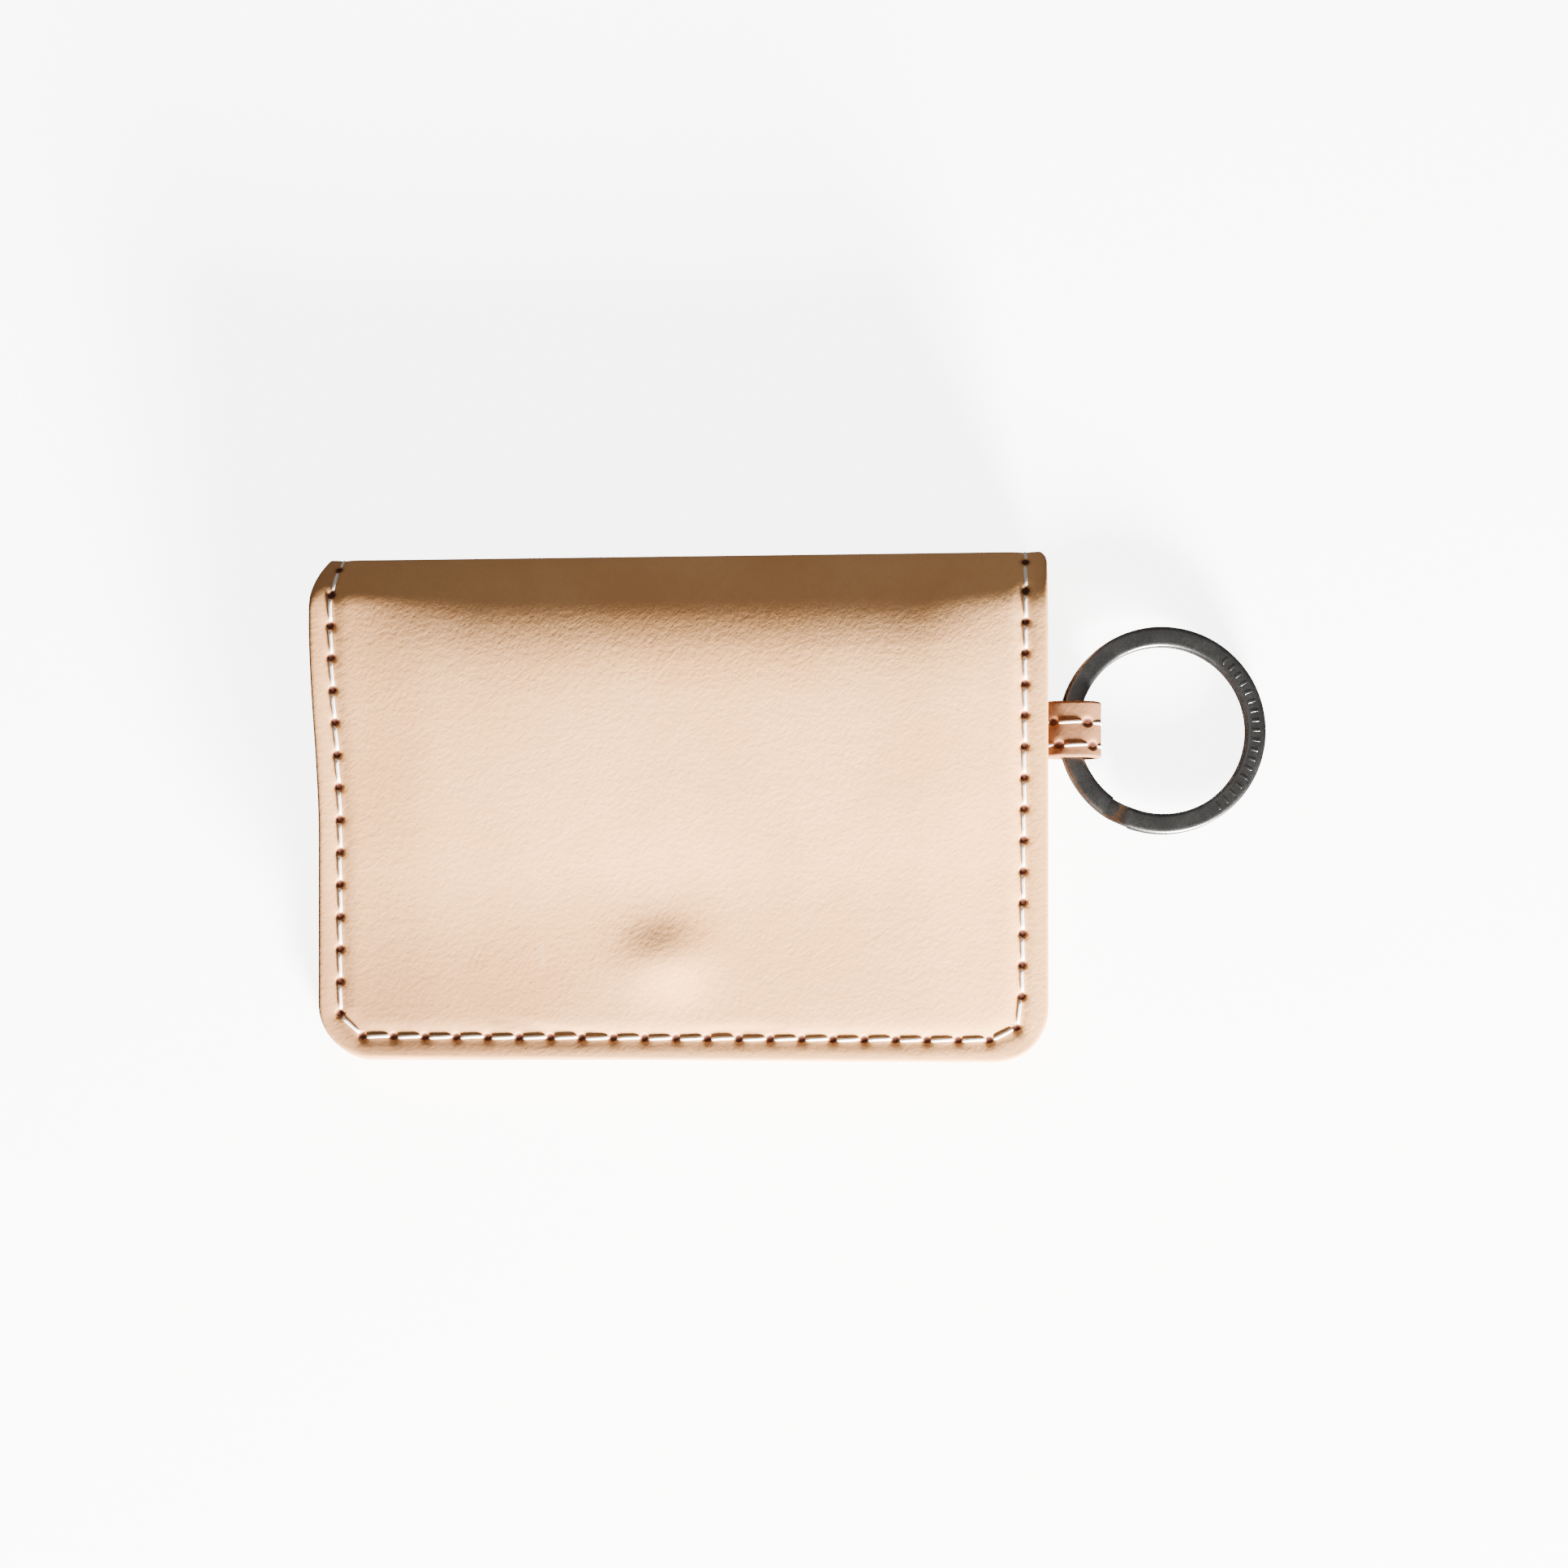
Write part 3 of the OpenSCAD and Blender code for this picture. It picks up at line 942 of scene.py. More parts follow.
    def bend(self, half: Half, x: Array, s: Array, h: Array) -> Array:
        """Bends points of the hide round the fold.

        Args:
            half: The half that the hide covers.
            x: Across.
            s: Along the hide's face, positive over the fold.
            h: Above the hide's face.

        Returns:
            The points, in millimetres.
        """
        a = np.clip(s, 0, None) / self.fold_r
        r = self.fold_r + h
        v, w = np.where(s > 0, r * np.sin(a), s), np.where(s > 0, r * np.cos(a), r)
        if half is Half.FRONT:
            inner = ramp(np.abs(x), self.half_w + 1, self.half_w - 23)
            share = np.where(x > 0, self.stiff_sides[1], self.stiff_sides[0]) * (1 - inner) + inner
            share = share * (s > -self.settle_s)
            fade = 1 - ramp(s, -4, self.spine_s)
            turn = np.interp(s, self.roll_at, self.roll_turn)
            soft_v = np.interp(s, self.roll_at, self.roll_v) + h * np.sin(turn)
            soft_w = np.interp(s, self.roll_at, self.roll_w) + h * np.cos(turn)
            v = v + (soft_v - v) * share
            w = w + (soft_w - self.pillow_h * fade - w) * share + self.rise(x, s) * fade
        drawn = np.clip(s, None, 0) / self.length(half)
        slant = self.skew[0] + self.skew[1] * x / self.half_w if half is Half.FRONT else -self.skew[0]
        v = v + slant * drawn
        row = self.to_row(half, x + self.sideways(half, x, s), v, w)
        row[:, 1] += self.tuck(x, s)
        return row

    def blend_line(self, half: Half) -> tuple[Vector, Vector]:
        """Where the hide stops following the spine, and where it fully follows its half.

        Args:
            half: The half that the hide covers.

        Returns:
            The two points, in metres.
        """
        a = self.spine_turn
        places = []
        for v, w in ((self.fold_r * math.sin(a), self.fold_r * math.cos(a)), (0.0, self.fold_r)):
            places.append(self.to_row(half, np.zeros(1), np.array([v]), np.array([w]))[0])
        one, two = places
        lean = math.radians(28)
        side = 1 if half is Half.FRONT else -1
        along = np.array([0, -math.sin(lean), side * math.cos(lean)])
        reach = float((two - one) @ along)
        return Vector(one * MM), Vector((one + along * reach) * MM)

    def outline_gap(self, x: Array, s: Array, length: float, inset: float = 0.0) -> Array:
        """Measures how far points of a half lie inside its outline, the fold's side left out.

        Args:
            x: Across.
            s: Along.
            length: Length of the half.
            inset: How far a smaller outline lies inside the real one.

        Returns:
            The distances, below 0 outside.
        """
        r = max(self.corner_r - inset, 2.0)
        side = self.half_w - inset - np.abs(x)
        low = s + length - inset
        corner = r - np.hypot(np.maximum(r - side, 0), np.maximum(r - low, 0))
        return np.where((side < r) & (low < r), corner, np.minimum(side, low))


    def corner_pull(self, x: Array, low: Array) -> Array:
        """Measures how far points of a rectangular blank move along X to reach the rounded outline.

        Args:
            x: Across.
            low: Distance from the open edge.

        Returns:
            The moves, towards the middle.
        """
        r, reach = self.corner_r, 16.0
        arc = np.sqrt(np.clip(r * r - np.clip(r - low, 0, None) ** 2, 0, None))
        return np.sign(x) * (r - arc) * ramp(np.abs(x), self.half_w - reach, self.half_w)


@dataclass
class Seam:
    """A line of stitches on the flat hide, given by its holes in order."""

    holes: list[Array]
    pitch: float = STITCH_PITCH
    depth: float = 0.28
    valley: float = 0.34
    valley_w: float = 1.3
    hole_w: float = 0.62
    fold_share: float = 0.25

    @classmethod
    def along(cls, corners: Sequence[tuple[float, float]], pitch: float = STITCH_PITCH) -> "Seam":
        """A seam along straight runs, its stitches evened out on each.

        Args:
            corners: The corners of the line, as x and s.
            pitch: Distance between holes, before it is evened out.

        Returns:
            The seam.
        """
        holes = [np.array(corners[0], float)]
        for a, b in zip(corners, corners[1:]):
            a, b = np.array(a, float), np.array(b, float)
            count = max(1, round(float(np.linalg.norm(b - a)) / pitch))
            holes += [a + (b - a) * k / count for k in range(1, count + 1)]
        return cls(holes, pitch)

    def runs(self) -> list[tuple[Array, Array]]:
        """Returns both ends of every stitch."""
        return list(zip(self.holes, self.holes[1:]))

    def trace(self, x: Array, s: Array) -> tuple[Array, Array]:
        """Measures points against the line of stitches.

        Args:
            x: Across.
            s: Along.

        Returns:
            How far along the line each point lies, counted in stitches, and its distance from it.
        """
        gap = np.full(x.shape, 9.0)
        along = np.zeros(x.shape)
        for k, (a, b) in enumerate(self.runs()):
            close = np.flatnonzero((np.abs(x - (a[0] + b[0]) / 2) < 5) & (np.abs(s - (a[1] + b[1]) / 2) < 5))
            p = np.column_stack([x[close], s[close]])
            t, here = to_line(p, a, b)
            better = here < gap[close]
            gap[close[better]] = here[better]
            along[close[better]] = k + t[better]
        return along, gap

    def relief(self, x: Array, s: Array) -> Array:
        """Measures how the thread pulls the hide in.

        Args:
            x: Across.
            s: Along.

        Returns:
            Heights of 0 or less.
        """
        along, gap = self.trace(x, s)
        away = np.hypot((along - np.rint(along)) * self.pitch, gap)
        deep = 1 - (1 - self.fold_share) * smooth(s / 7)
        return -deep * (self.valley * hump(gap / self.valley_w) + self.depth * hump(away / self.hole_w))


def keep_seams(obj: bpy.types.Object, seams: Sequence[Seam], x: Array, s: Array) -> None:
    """Keeps on obj where its points lie along the nearest seam, for the holes in its material.

    Args:
        obj: The leather.
        seams: Its seams.
        x: Across, for each vertex.
        s: Along, for each vertex.
    """
    traces = [seam.trace(x, s) for seam in seams]
    nearest = np.argmin([gap for _, gap in traces], axis=0)
    store(obj, "stitch", np.choose(nearest, [along for along, _ in traces]))
    store(obj, "seam_gap", np.choose(nearest, [gap for _, gap in traces]))


def stitch_blank(sides: int = 8, rings: int = 8) -> bpy.types.Object:
    """One plain stitch: a short bar along X from 0 to 1, with unit radius, in a few rings.

    Args:
        sides: Sides of the bar.
        rings: Rings along it.

    Returns:
        The bar.
    """
    deselect()
    bpy.ops.mesh.primitive_cylinder_add(vertices=sides, radius=1, depth=1, end_fill_type="NGON",
                                        rotation=(0, math.pi / 2, 0), location=(0.5, 0, 0))
    obj = take_new("stitch")
    bpy.ops.object.transform_apply(location=True, rotation=True, scale=True)
    ends = np.array([[obj.data.vertices[i].co.x for i in edge.vertices] for edge in obj.data.edges])
    lengthwise = np.abs(ends[:, 0] - ends[:, 1]) > 0.5

    def cut_rings() -> None:
        """Cuts the bar's long edges into rings."""
        bpy.ops.mesh.select_mode(type="EDGE")
        bpy.ops.object.mode_set(mode="OBJECT")
        obj.data.edges.foreach_set("select", lengthwise)
        bpy.ops.object.mode_set(mode="EDIT")
        bpy.ops.mesh.subdivide(number_cuts=rings - 1)
        bpy.ops.mesh.select_mode(type="VERT")

    in_edit_mode(obj, cut_rings, "DESELECT")
    return obj


@dataclass
class ThreadRun:
    """Stitches laid along a seam on a formed surface."""

    name: str
    width: float = 0.55
    height: float = 0.42
    slack: float = 0.66
    rise: float = 0.16
    dive: float = 0.62
    level: float = 0.0
    slant: float = 0.10

    def lay(self, runs: Sequence[tuple[Array, Array]], former: Former, flip: bool) -> bpy.types.Object:
        """Lays one stitch on each run.

        Args:
            runs: Both ends of each stitch, as x and s.
            former: Places points of x, s and h.
            flip: Whether the forming mirrors.

        Returns:
            The thread as one object, in metres.
        """
        master = stitch_blank()
        base = coords(master)
        t, across, up = base[:, 0], base[:, 1], base[:, 2]
        ends = np.abs(2 * t - 1)
        thin = 1 - 0.35 * ends ** 6
        lift = self.level + self.rise - self.dive * ends ** 7
        parts = []
        for number, (a, b) in enumerate(runs):
            d = b - a
            span = float(np.linalg.norm(d))
            d = d / span
            reach = self.slack / 2 + (span - self.slack) * t
            wobble = 0.05 * math.sin(number * 2.4) * (1 - ends ** 2)
            turn = across * thin * self.width / 2 + wobble + self.slant * (2 * t - 1)
            x = a[0] + d[0] * reach - d[1] * turn
            s = a[1] + d[1] * reach + d[0] * turn
            h = lift + up * thin * self.height / 2
            part = twin(master)
            set_coords(part, former(np.column_stack([x, s, h])) * MM)
            store(part, "sunk", 0.85 * ramp(ends, 0.72, 1))
            parts.append(part)
        bpy.data.objects.remove(master)
        thread = join(self.name, parts)
        if flip:
            turn_over(thread)
        shade(thread, 60)
        return thread


# ---- sub-assemblies ----


@dataclass
class Finishes:
    """The materials of the whole holder, each made once."""

    face: bpy.types.Material
    loop: bpy.types.Material
    edge: bpy.types.Material
    flesh: bpy.types.Material
    pocket: bpy.types.Material
    thread: bpy.types.Material
    ring: bpy.types.Material
    snap: bpy.types.Material
    spring: bpy.types.Material
    sheet: bpy.types.Material

    @classmethod
    def make(cls) -> "Finishes":
        """Builds all the finishes.

        Returns:
            The finishes.
        """
        return cls(
            face=TannedLeather().build(),
            # Painted shade: a darker copy of the face leather for the loop, which sits low beside the holder
            # and turned from the key light.
            loop=TannedLeather("loop_leather_painted_shade", (0.27, 0.125, 0.058), (0.17, 0.075, 0.03)).build(),
            edge=CutEdge().build(),
            flesh=FleshSide().build(),
            pocket=PocketLeather().build(),
            thread=WaxedThread().build(),
            ring=PlatedMetal("dark_nickel", (0.105, 0.103, 0.10), (0.20, 0.196, 0.19), 0.30).build(),
            snap=PlatedMetal("bright_nickel", (0.62, 0.60, 0.57), (0.74, 0.72, 0.69), 0.22).build(),
            spring=PlatedMetal("spring_wire", (0.36, 0.36, 0.37), (0.5, 0.5, 0.5), 0.30).build(),
            sheet=ClearSheet().build(),
        )


@dataclass(frozen=True)
class WearAndShade:
    """How much the worn rim, the specks and each patch of painted shade darken the outer leather, from 0 to
    1.
    """

    # rim is the real darkening of the worn cut edge; lower, left and the three margin weights are painted
    # shade, the hide darker towards the left and lower left and on the margins that curl away from the key
    # light.
    rim: float = 0.30
    lower: float = 0.62
    left: float = 0.32
    left_margin_shade: float = 0.28
    right_margin_shade: float = 0.14
    lower_margin_shade: float = 0.45
    spots: float = 0.35
    # Painted shade along the creased line above the lower seam.
    crease_shade: float = 0.45


@dataclass
class Cover:
    """The outer leather of one half, from its open edge to the middle of the spine, with its seam."""

    form: HolderForm
    finishes: Finishes
    half: Half
    thick: float = 1.5
    seam_inset: float = 3.0
    seam_cut: float = 3.15
    lip: float = 0.42
    step: float = 0.46
    window: tuple[float, float] | None = None
    window_r: float = 4.0
    window_seam: float = 2.2
    window_mid: float = 30.3
    low_right: tuple[tuple[float, float], ...] = ((5.2, 0.1), (1.4, 1.8), (0.7, 6.2))
    crease_w: float = 0.5
    crease_depth: float = 0.10
    wear_and_shade: WearAndShade = WearAndShade()

    def __post_init__(self) -> None:
        """Works out the lines of stitches."""
        x, low, s = self.form.half_w - self.seam_inset, self.seam_inset - self.length, self.form.spine_s
        left = [(-x, s), (-x, low + self.seam_cut), (self.seam_cut - x, low)]
        right = [(x - self.seam_cut, low), (x, low + self.seam_cut), (x, s)]
        if self.half is Half.FRONT:
            right = [(x - dx, low + ds) for dx, ds in self.low_right] + [(x, s)]
        self.seams = [Seam.along(left + right)]
        if self.window is not None:
            w, h = (side / 2 + self.window_seam for side in self.window)
            r, m = self.window_r, -self.window_mid
            ring = [(-w, m - h + r), (-w, m + h - r), (r - w, m + h), (w - r, m + h), (w, m + h - r),
                    (w, m - h + r), (w - r, m - h), (r - w, m - h), (-w, m - h + r)]
            self.seams.append(Seam.along(ring))

    @property
    def length(self) -> float:
        """Length of this half."""
        return self.form.length(self.half)

    @property
    def body(self) -> str:
        """Name of the body that this half is."""
        return self.half.value

    def grid(self) -> tuple[Array, Array]:
        """Lays out the blank's grid, with close lines at its edges and the window's sides.

        Returns:
            The grid lines across, and along.
        """
        near = (0, 0.07, 0.18, 0.34, 0.6, 1.0, 1.5, 1.95, 2.3, 2.6, 2.85, 3.1, 3.35, 3.65, 4.0, 4.5, 5.0)
        across = graded(-self.form.half_w, self.form.half_w, self.step, near)
        low = np.array([0, 0.02, 0.07, 0.16, 0.3, 0.5]) - self.length
        along = graded(0.5 - self.length, self.form.spine_s, self.step, (0, 0.5))
        along = np.concatenate([low[:-1], along])
        if self.window is not None:
            lip = np.array([0, 0.07, 0.2, 0.42])
            for sign in (1, -1):
                side = sign * self.window[0] / 2
                across = np.append(across[np.abs(across - side) > 0.6], side + sign * lip)
                side = sign * self.window[1] / 2 - self.window_mid
                along = np.append(along[np.abs(along - side) > 0.6], side + sign * lip)
        return np.sort(across), np.sort(along)

    def window_gap(self, x: Array, s: Array) -> Array:
        """Measures how far points lie outside the window's outline.

        Args:
            x: Across.
            s: Along.

        Returns:
            The distances, below 0 inside.
        """
        w, h, r = self.window[0] / 2, self.window[1] / 2, self.window_r
        dx = np.abs(x) - (w - r)
        ds = np.abs(s + self.window_mid) - (h - r)
        return np.hypot(np.maximum(dx, 0), np.maximum(ds, 0)) + np.minimum(np.maximum(dx, ds), 0) - r

    def cut_corners(self, flat: Array) -> Array:
        """Draws the flat blank in to its rounded corners, and the window's corners round.

        Args:
            flat: Points of the rectangular blank.

        Returns:
            The same points on the real outline.
        """
        x, s = flat[:, 0].copy(), flat[:, 1].copy()
        x -= self.form.corner_pull(x, s + self.length)
        if self.window is not None:
            w, h, r = self.window[0] / 2, self.window[1] / 2, self.window_r
            cx, cs = np.sign(x) * (w - r), np.sign(s + self.window_mid) * (h - r) - self.window_mid
            dx, ds = (x - cx) * np.sign(x), (s - cs) * np.sign(s + self.window_mid)
            square = np.maximum(dx, ds)
            inside = (dx > 0) & (ds > 0) & (square < r + 4)
            round_share = ramp(square, r + 4, r)
            scale = np.where(inside, square / np.maximum(np.hypot(dx, ds), 1e-9), 1.0)
            scale = 1 + (scale - 1) * round_share
            x = np.where(inside, cx + (x - cx) * scale, x)
            s = np.where(inside, cs + (s - cs) * scale, s)
        return np.column_stack([x, s, flat[:, 2]])

    def shape(self, flat: Array) -> Array:
        """Gives the flat hide its rolled lips, seams and form.

        Args:
            flat: Points of the blank as x, s and h.

        Returns:
            The points, in millimetres.
        """
        x, s, h = flat.T
        gap = self.form.outline_gap(x, s, self.length)
        if self.window is not None:
            gap = np.minimum(gap, self.window_gap(x, s))
        inward = np.clip(1 - np.clip(gap, 0, None) / self.lip, 0, 1)
        drop = self.lip * (1 - np.sqrt(1 - inward ** 2))
        depth = np.clip(-h / self.thick, 0, 1)
        relief = sum(seam.relief(x, s) for seam in self.seams)
        h = h + (1 - 2 * depth) * drop * np.where(depth < 0.5, -1, -0.6) + relief * (1 - depth)
        if self.half is Half.FRONT:
            h = h + self.creases(x, s) * (1 - depth)
        return self.form.bend(self.half, x, s, h)

    def creases(self, x: Array, s: Array) -> Array:
        """Shapes the shallow creases just above the lower seam.

        Args:
            x: Across.
            s: Along.

        Returns:
            Heights of 0 or less.
        """
        low = s + self.length
        left = hump((low - 5.3 + (x + 30) * 0.105) / self.crease_w) * ramp(x, -29, -24) * ramp(x, -8, -14)
        right = hump((low - 3.9 - (x - 2) * 0.06) / self.crease_w) * ramp(x, 0, 5) * ramp(x, 15, 10)
        return -self.crease_depth * (left + right)

    def marks(self, obj: bpy.types.Object, flat: Array) -> None:
        """Keeps on the hide where it has specks and scratches, where its rim is worn darker, and where shade
        is painted onto it: towards the left and lower left, on its margins and along one creased line.

        Args:
            obj: The hide.
            flat: Its flat points as x, s and h.
        """
        x, s, _ = flat.T
        keep_seams(obj, self.seams, x, s)
        gap = self.form.outline_gap(x, s, self.length)
        rim = ramp(gap, 0.9, 0)
        low = s + self.length
        spot = hump(np.hypot(x + 28.6, (low - 13.9) / 1.2) / 1.5) * (np.sin(x * 7 + low * 3) > 0.55)
        # Painted shade: a dark line along the shallow creased line above the lower seam.
        crease_shade = hump((low - 5.2 + (x + 26) * 0.09) / 0.32) * ramp(x, -28, -26) * ramp(x, -20, -23)
        wear_and_shade, shown = self.wear_and_shade, self.half is Half.FRONT
        # Painted shade: this mask darkens the hide towards the left and lower left and along its margins;
        # only its rim part is real edge darkening.
        tan = wear_and_shade.rim * rim + wear_and_shade.left * ramp(x, -4, -46)
        tan += wear_and_shade.lower * ramp(low, 28, 2) * ramp(x, 46, -44)
        tan += wear_and_shade.left_margin_shade * ramp(x, -46.6, -48.2) + wear_and_shade.right_margin_shade * ramp(x, 48.2, 49.7)
        tan += wear_and_shade.lower_margin_shade * ramp(low, 4.2, 2.2) * ramp(low, 0.5, 1.5)
        store(obj, "tan", np.clip(tan, 0, 1))
        # Real dark specks, plus painted shade along the creased line.
        store(obj, "specks_and_crease_shade", shown * (wear_and_shade.spots * spot + wear_and_shade.crease_shade * crease_shade))
        store(obj, "scratch", shown * self.scratches(x, s))

    def scratches(self, x: Array, s: Array) -> Array:
        """Draws the few long faint scratches on the front.

        Args:
            x: Across.
            s: Along.

        Returns:
            Their strength, from 0 to 1.
        """
        total = np.zeros(x.shape)
        lines = (((-10.2, -27.0), (-27.0, -38.5), 0.35, 0.5), ((-19.7, -46.6), (-19.5, -49.6), 0.3, 1.0))
        for start, end, width, strength in lines:
            _, gap = to_line(np.column_stack([x, s]), np.array(start), np.array(end))
            total = np.maximum(total, strength * hump(gap / width))
        return total

    def build(self) -> tuple[bpy.types.Object, bpy.types.Object]:
        """Makes the cover and the thread of its outer seam.

        Returns:
            The leather and the thread.
        """
        gone = None
        if self.window is not None:
            w, h, m = self.window[0] / 2, self.window[1] / 2, self.window_mid

            def gone(p: Array) -> Array:
                """Tells which faces lie in the window."""
                return (np.abs(p[:, 0]) < w) & (np.abs(p[:, 1] + m) < h)

        name = f"{self.body}_cover"
        hide = blank(name, *self.grid(), self.thick, gone)
        flat = self.cut_corners(coords(hide))
        self.marks(hide, flat)
        set_coords(hide, flat)
        flip = self.half is Half.BACK
        form(hide, self.shape, flip)
        shade(hide, 50)
        dress(hide, self.finishes.face, self.finishes.edge, self.finishes.flesh)
        start, end = self.form.blend_line(self.half)
        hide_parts(f"{self.body}_panel", *(["fold_panel"] if flip else []))
        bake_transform(hide)
        thread = self.sew(self.seams[0], f"{self.body}_seam_thread", flip)
        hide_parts(f"{self.body}_seam_outer", *(["fold_seam_outer"] if flip else []))
        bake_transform(thread)
        if self.window is not None:
            border = self.sew(self.seams[1], "window_thread", flip)
            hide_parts("window_stitching")
            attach(border, self.body)
        return hide, thread

    def sew(self, seam: Seam, name: str, flip: bool) -> bpy.types.Object:
        """Lays the thread of a seam on the outside.

        Args:
            seam: Its holes.
            name: Name of the thread.
            flip: Whether the forming mirrors.

        Returns:
            The thread.
        """
        front = self.half is Half.FRONT

        def on_hide(flat: Array) -> Array:
            """Places thread on the hide, whose seam lies less deep over the fold."""
            x, s, h = flat.T
            return self.form.bend(self.half, x, s, h + (0.10 * smooth(s / 7) if front else 0.0))

        level = -0.31 if front else -0.37
        style = ThreadRun(name, width=0.50, height=0.30, level=level, rise=0.11, dive=0.62)
        thread = style.lay(seam.runs(), on_hide, flip)
        dress(thread, self.finishes.thread)
        return thread


@dataclass
class Lining:
    """The leather strip inside the fold, one half of it, with its thread."""

    form: HolderForm
    finishes: Finishes
    half: Half
    face_h: float = -2.3
    thick: float = 0.8
    side_gap: float = 0.15
    seam_inset: float = 3.0
    pitch: float = 3.2

    def shape(self, flat: Array) -> Array:
        """Forms the strip, whose face looks into the fold.

        Args:
            flat: Points of the blank as x, s and h.

        Returns:
            The points, in millimetres.
        """
        x, s, h = flat.T
        gap = self.form.half_w - np.abs(x)
        depth = np.clip(-h / self.thick, 0, 1)
        rim = 0.18 * np.clip(1 - gap / 0.3, 0, 1) ** 2 * (1 - 2 * depth)
        return self.form.bend(self.half, x, s, self.face_h - h + rim)

    def build(self) -> bpy.types.Object:
        """Makes the strip and its thread.

        Returns:
            The strip.
        """
        edges = (0, 0.1, 0.3, 0.8, 1.6)
        end_x = self.form.half_w - self.side_gap
        columns = graded(-end_x, end_x, 1.2, edges)
        rows = np.linspace(0, self.form.spine_s, 22)
        strip = blank(f"lining_{self.half.value}", columns, rows, self.thick)
        x = self.form.half_w - self.seam_inset
        seams = [Seam.along([(side, 0.3), (side, self.form.spine_s)], self.pitch) for side in (-x, x)]
        keep_seams(strip, seams, *coords(strip).T[:2])
        flip = self.half is Half.FRONT
        form(strip, self.shape, flip)
        shade(strip, 50)
        dress(strip, self.finishes.pocket, self.finishes.edge, self.finishes.flesh)
        start, end = self.form.blend_line(self.half)
        runs = [run for seam in seams for run in seam.runs()]

        def on_strip(flat: Array) -> Array:
            """Places thread on the strip's inner face."""
            return self.form.bend(self.half, flat[:, 0], flat[:, 1], self.face_h - flat[:, 2])

        thread = ThreadRun(f"lining_thread_{self.half.value}", dive=0.4, rise=0.1).lay(runs, on_strip, flip)
        dress(thread, self.finishes.thread)
        if self.half is Half.BACK:
            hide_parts("fold_lining")
            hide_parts("fold_seam_inner")
        for piece in (strip, thread):
            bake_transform(piece)
        return strip


@dataclass
class Pocket:
    """An inner pocket: a flat sewn rim, a moulded middle and a thumb notch."""

    form: HolderForm
    finishes: Finishes
    half: Half
    thick: float = 1.2
    rim_w: float = 4.3
    face_w: float = 3.1
    rim_inset: float = 3.8
    mouth: float = 2.5
    thumb_r: float = 11.5
    thumb_rise: float = 3.5
    still_s: float = -26.0
    seam_inset: float = 3.0
    seam_cut: float = 3.15
    bridge: tuple[float, float, float, float] | None = None

    @property
    def length(self) -> float:
        """Length of this half."""
        return self.form.length(self.half)

    def cut(self, flat: Array) -> Array:
        """Draws the blank in to the rounded corners and the thumb notch.

        Args:
            flat: Points of the rectangular blank.

        Returns:
            The same points on the real outline.
        """
        x, s = flat[:, 0].copy(), flat[:, 1].copy()
        x -= self.form.corner_pull(x, s + self.length)
        bottom = self.still_s
        arc = np.sqrt(np.clip(self.thumb_r ** 2 - x ** 2, self.thumb_rise ** 2, None)) - self.thumb_rise
        top = -self.mouth - arc
        s = np.where(s > bottom, bottom + (s - bottom) * (top - bottom) / (-self.mouth - bottom), s)
        return np.column_stack([x, s, flat[:, 2]])

    def level(self, x: Array, s: Array) -> Array:
        """Measures how far the pocket's visible face stands out from the middle of the fold.

        Args:
            x: Across.
            s: Along.

        Returns:
            The distances.
        """
        inset = self.form.outline_gap(x, s, self.length)
        w = self.rim_w - (self.rim_w - self.face_w) * ramp(inset, self.rim_inset - 0.1, self.rim_inset + 1.4)
        if self.bridge is not None:
            x0, s0, half_s, w_low = self.bridge
            over = ramp(x, x0 - 0.4, x0 + 0.6) * ramp(np.abs(s - s0), half_s + 0.5, half_s - 0.6)
            w = w + (w_low - w) * over
        return w

    def shape(self, flat: Array) -> Array:
        """Gives the flat pocket its moulded face, pulled seam and rounded edges.

        Args:
            flat: Points of the blank as x, s and h.

        Returns:
            The points, in millimetres.
        """
        x, s, h = flat.T
        depth = np.clip(-h / self.thick, 0, 1)
        gap = np.minimum(self.form.outline_gap(x, s, self.length), 9)
        drop = 0.3 * np.clip(1 - np.clip(gap, 0, None) / 0.3, 0, 1) ** 2
        w = self.level(x, s) - h + (drop - self.seam.relief(x, s) * 0.5) * (1 - depth)
        return self.form.to_row(self.half, x, s, w)

    def build(self) -> bpy.types.Object:
        """Makes the pocket and its thread.

        Returns:
            The pocket.
        """
        x, low = self.form.half_w - self.seam_inset, self.seam_inset - self.length
        corners = [(-x, -self.mouth - 0.6), (-x, low + self.seam_cut), (self.seam_cut - x, low),
                   (x - self.seam_cut, low), (x, low + self.seam_cut), (x, -self.mouth - 0.6)]
        self.seam = Seam.along(corners)
        near = (0, 0.12, 0.3, 0.6, 1.1, 1.7, 2.3, 2.8, 3.3, 3.8, 4.2, 4.6, 5.0, 5.5, 6.0)
        columns = graded(-self.form.half_w, self.form.half_w, 0.8, near)
        low_rows = np.array([0, 0.03, 0.12, 0.3, 0.6, 1.1, 1.7, 2.3, 2.8, 3.3, 3.8, 4.2, 4.6, 5.0])
        rows = np.concatenate([low_rows - self.length, np.linspace(5.6 - self.length, -self.mouth, 70)])
        sheet = blank(f"{self.half.value}_pocket_leather", columns, rows, self.thick)
        flat = self.cut(coords(sheet))
        keep_seams(sheet, [self.seam], *flat.T[:2])
        set_coords(sheet, flat)
        flip = self.half is Half.FRONT
        form(sheet, self.shape, flip)
        shade(sheet, 50)
        dress(sheet, self.finishes.pocket, self.finishes.edge, self.finishes.flesh)
        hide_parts(f"{self.half.value}_pocket")
        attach(sheet, self.half.value)

        def on_pocket(p: Array) -> Array:
            """Places thread on the pocket's visible face."""
            return self.form.to_row(self.half, p[:, 0], p[:, 1], self.level(p[:, 0], p[:, 1]) - p[:, 2])

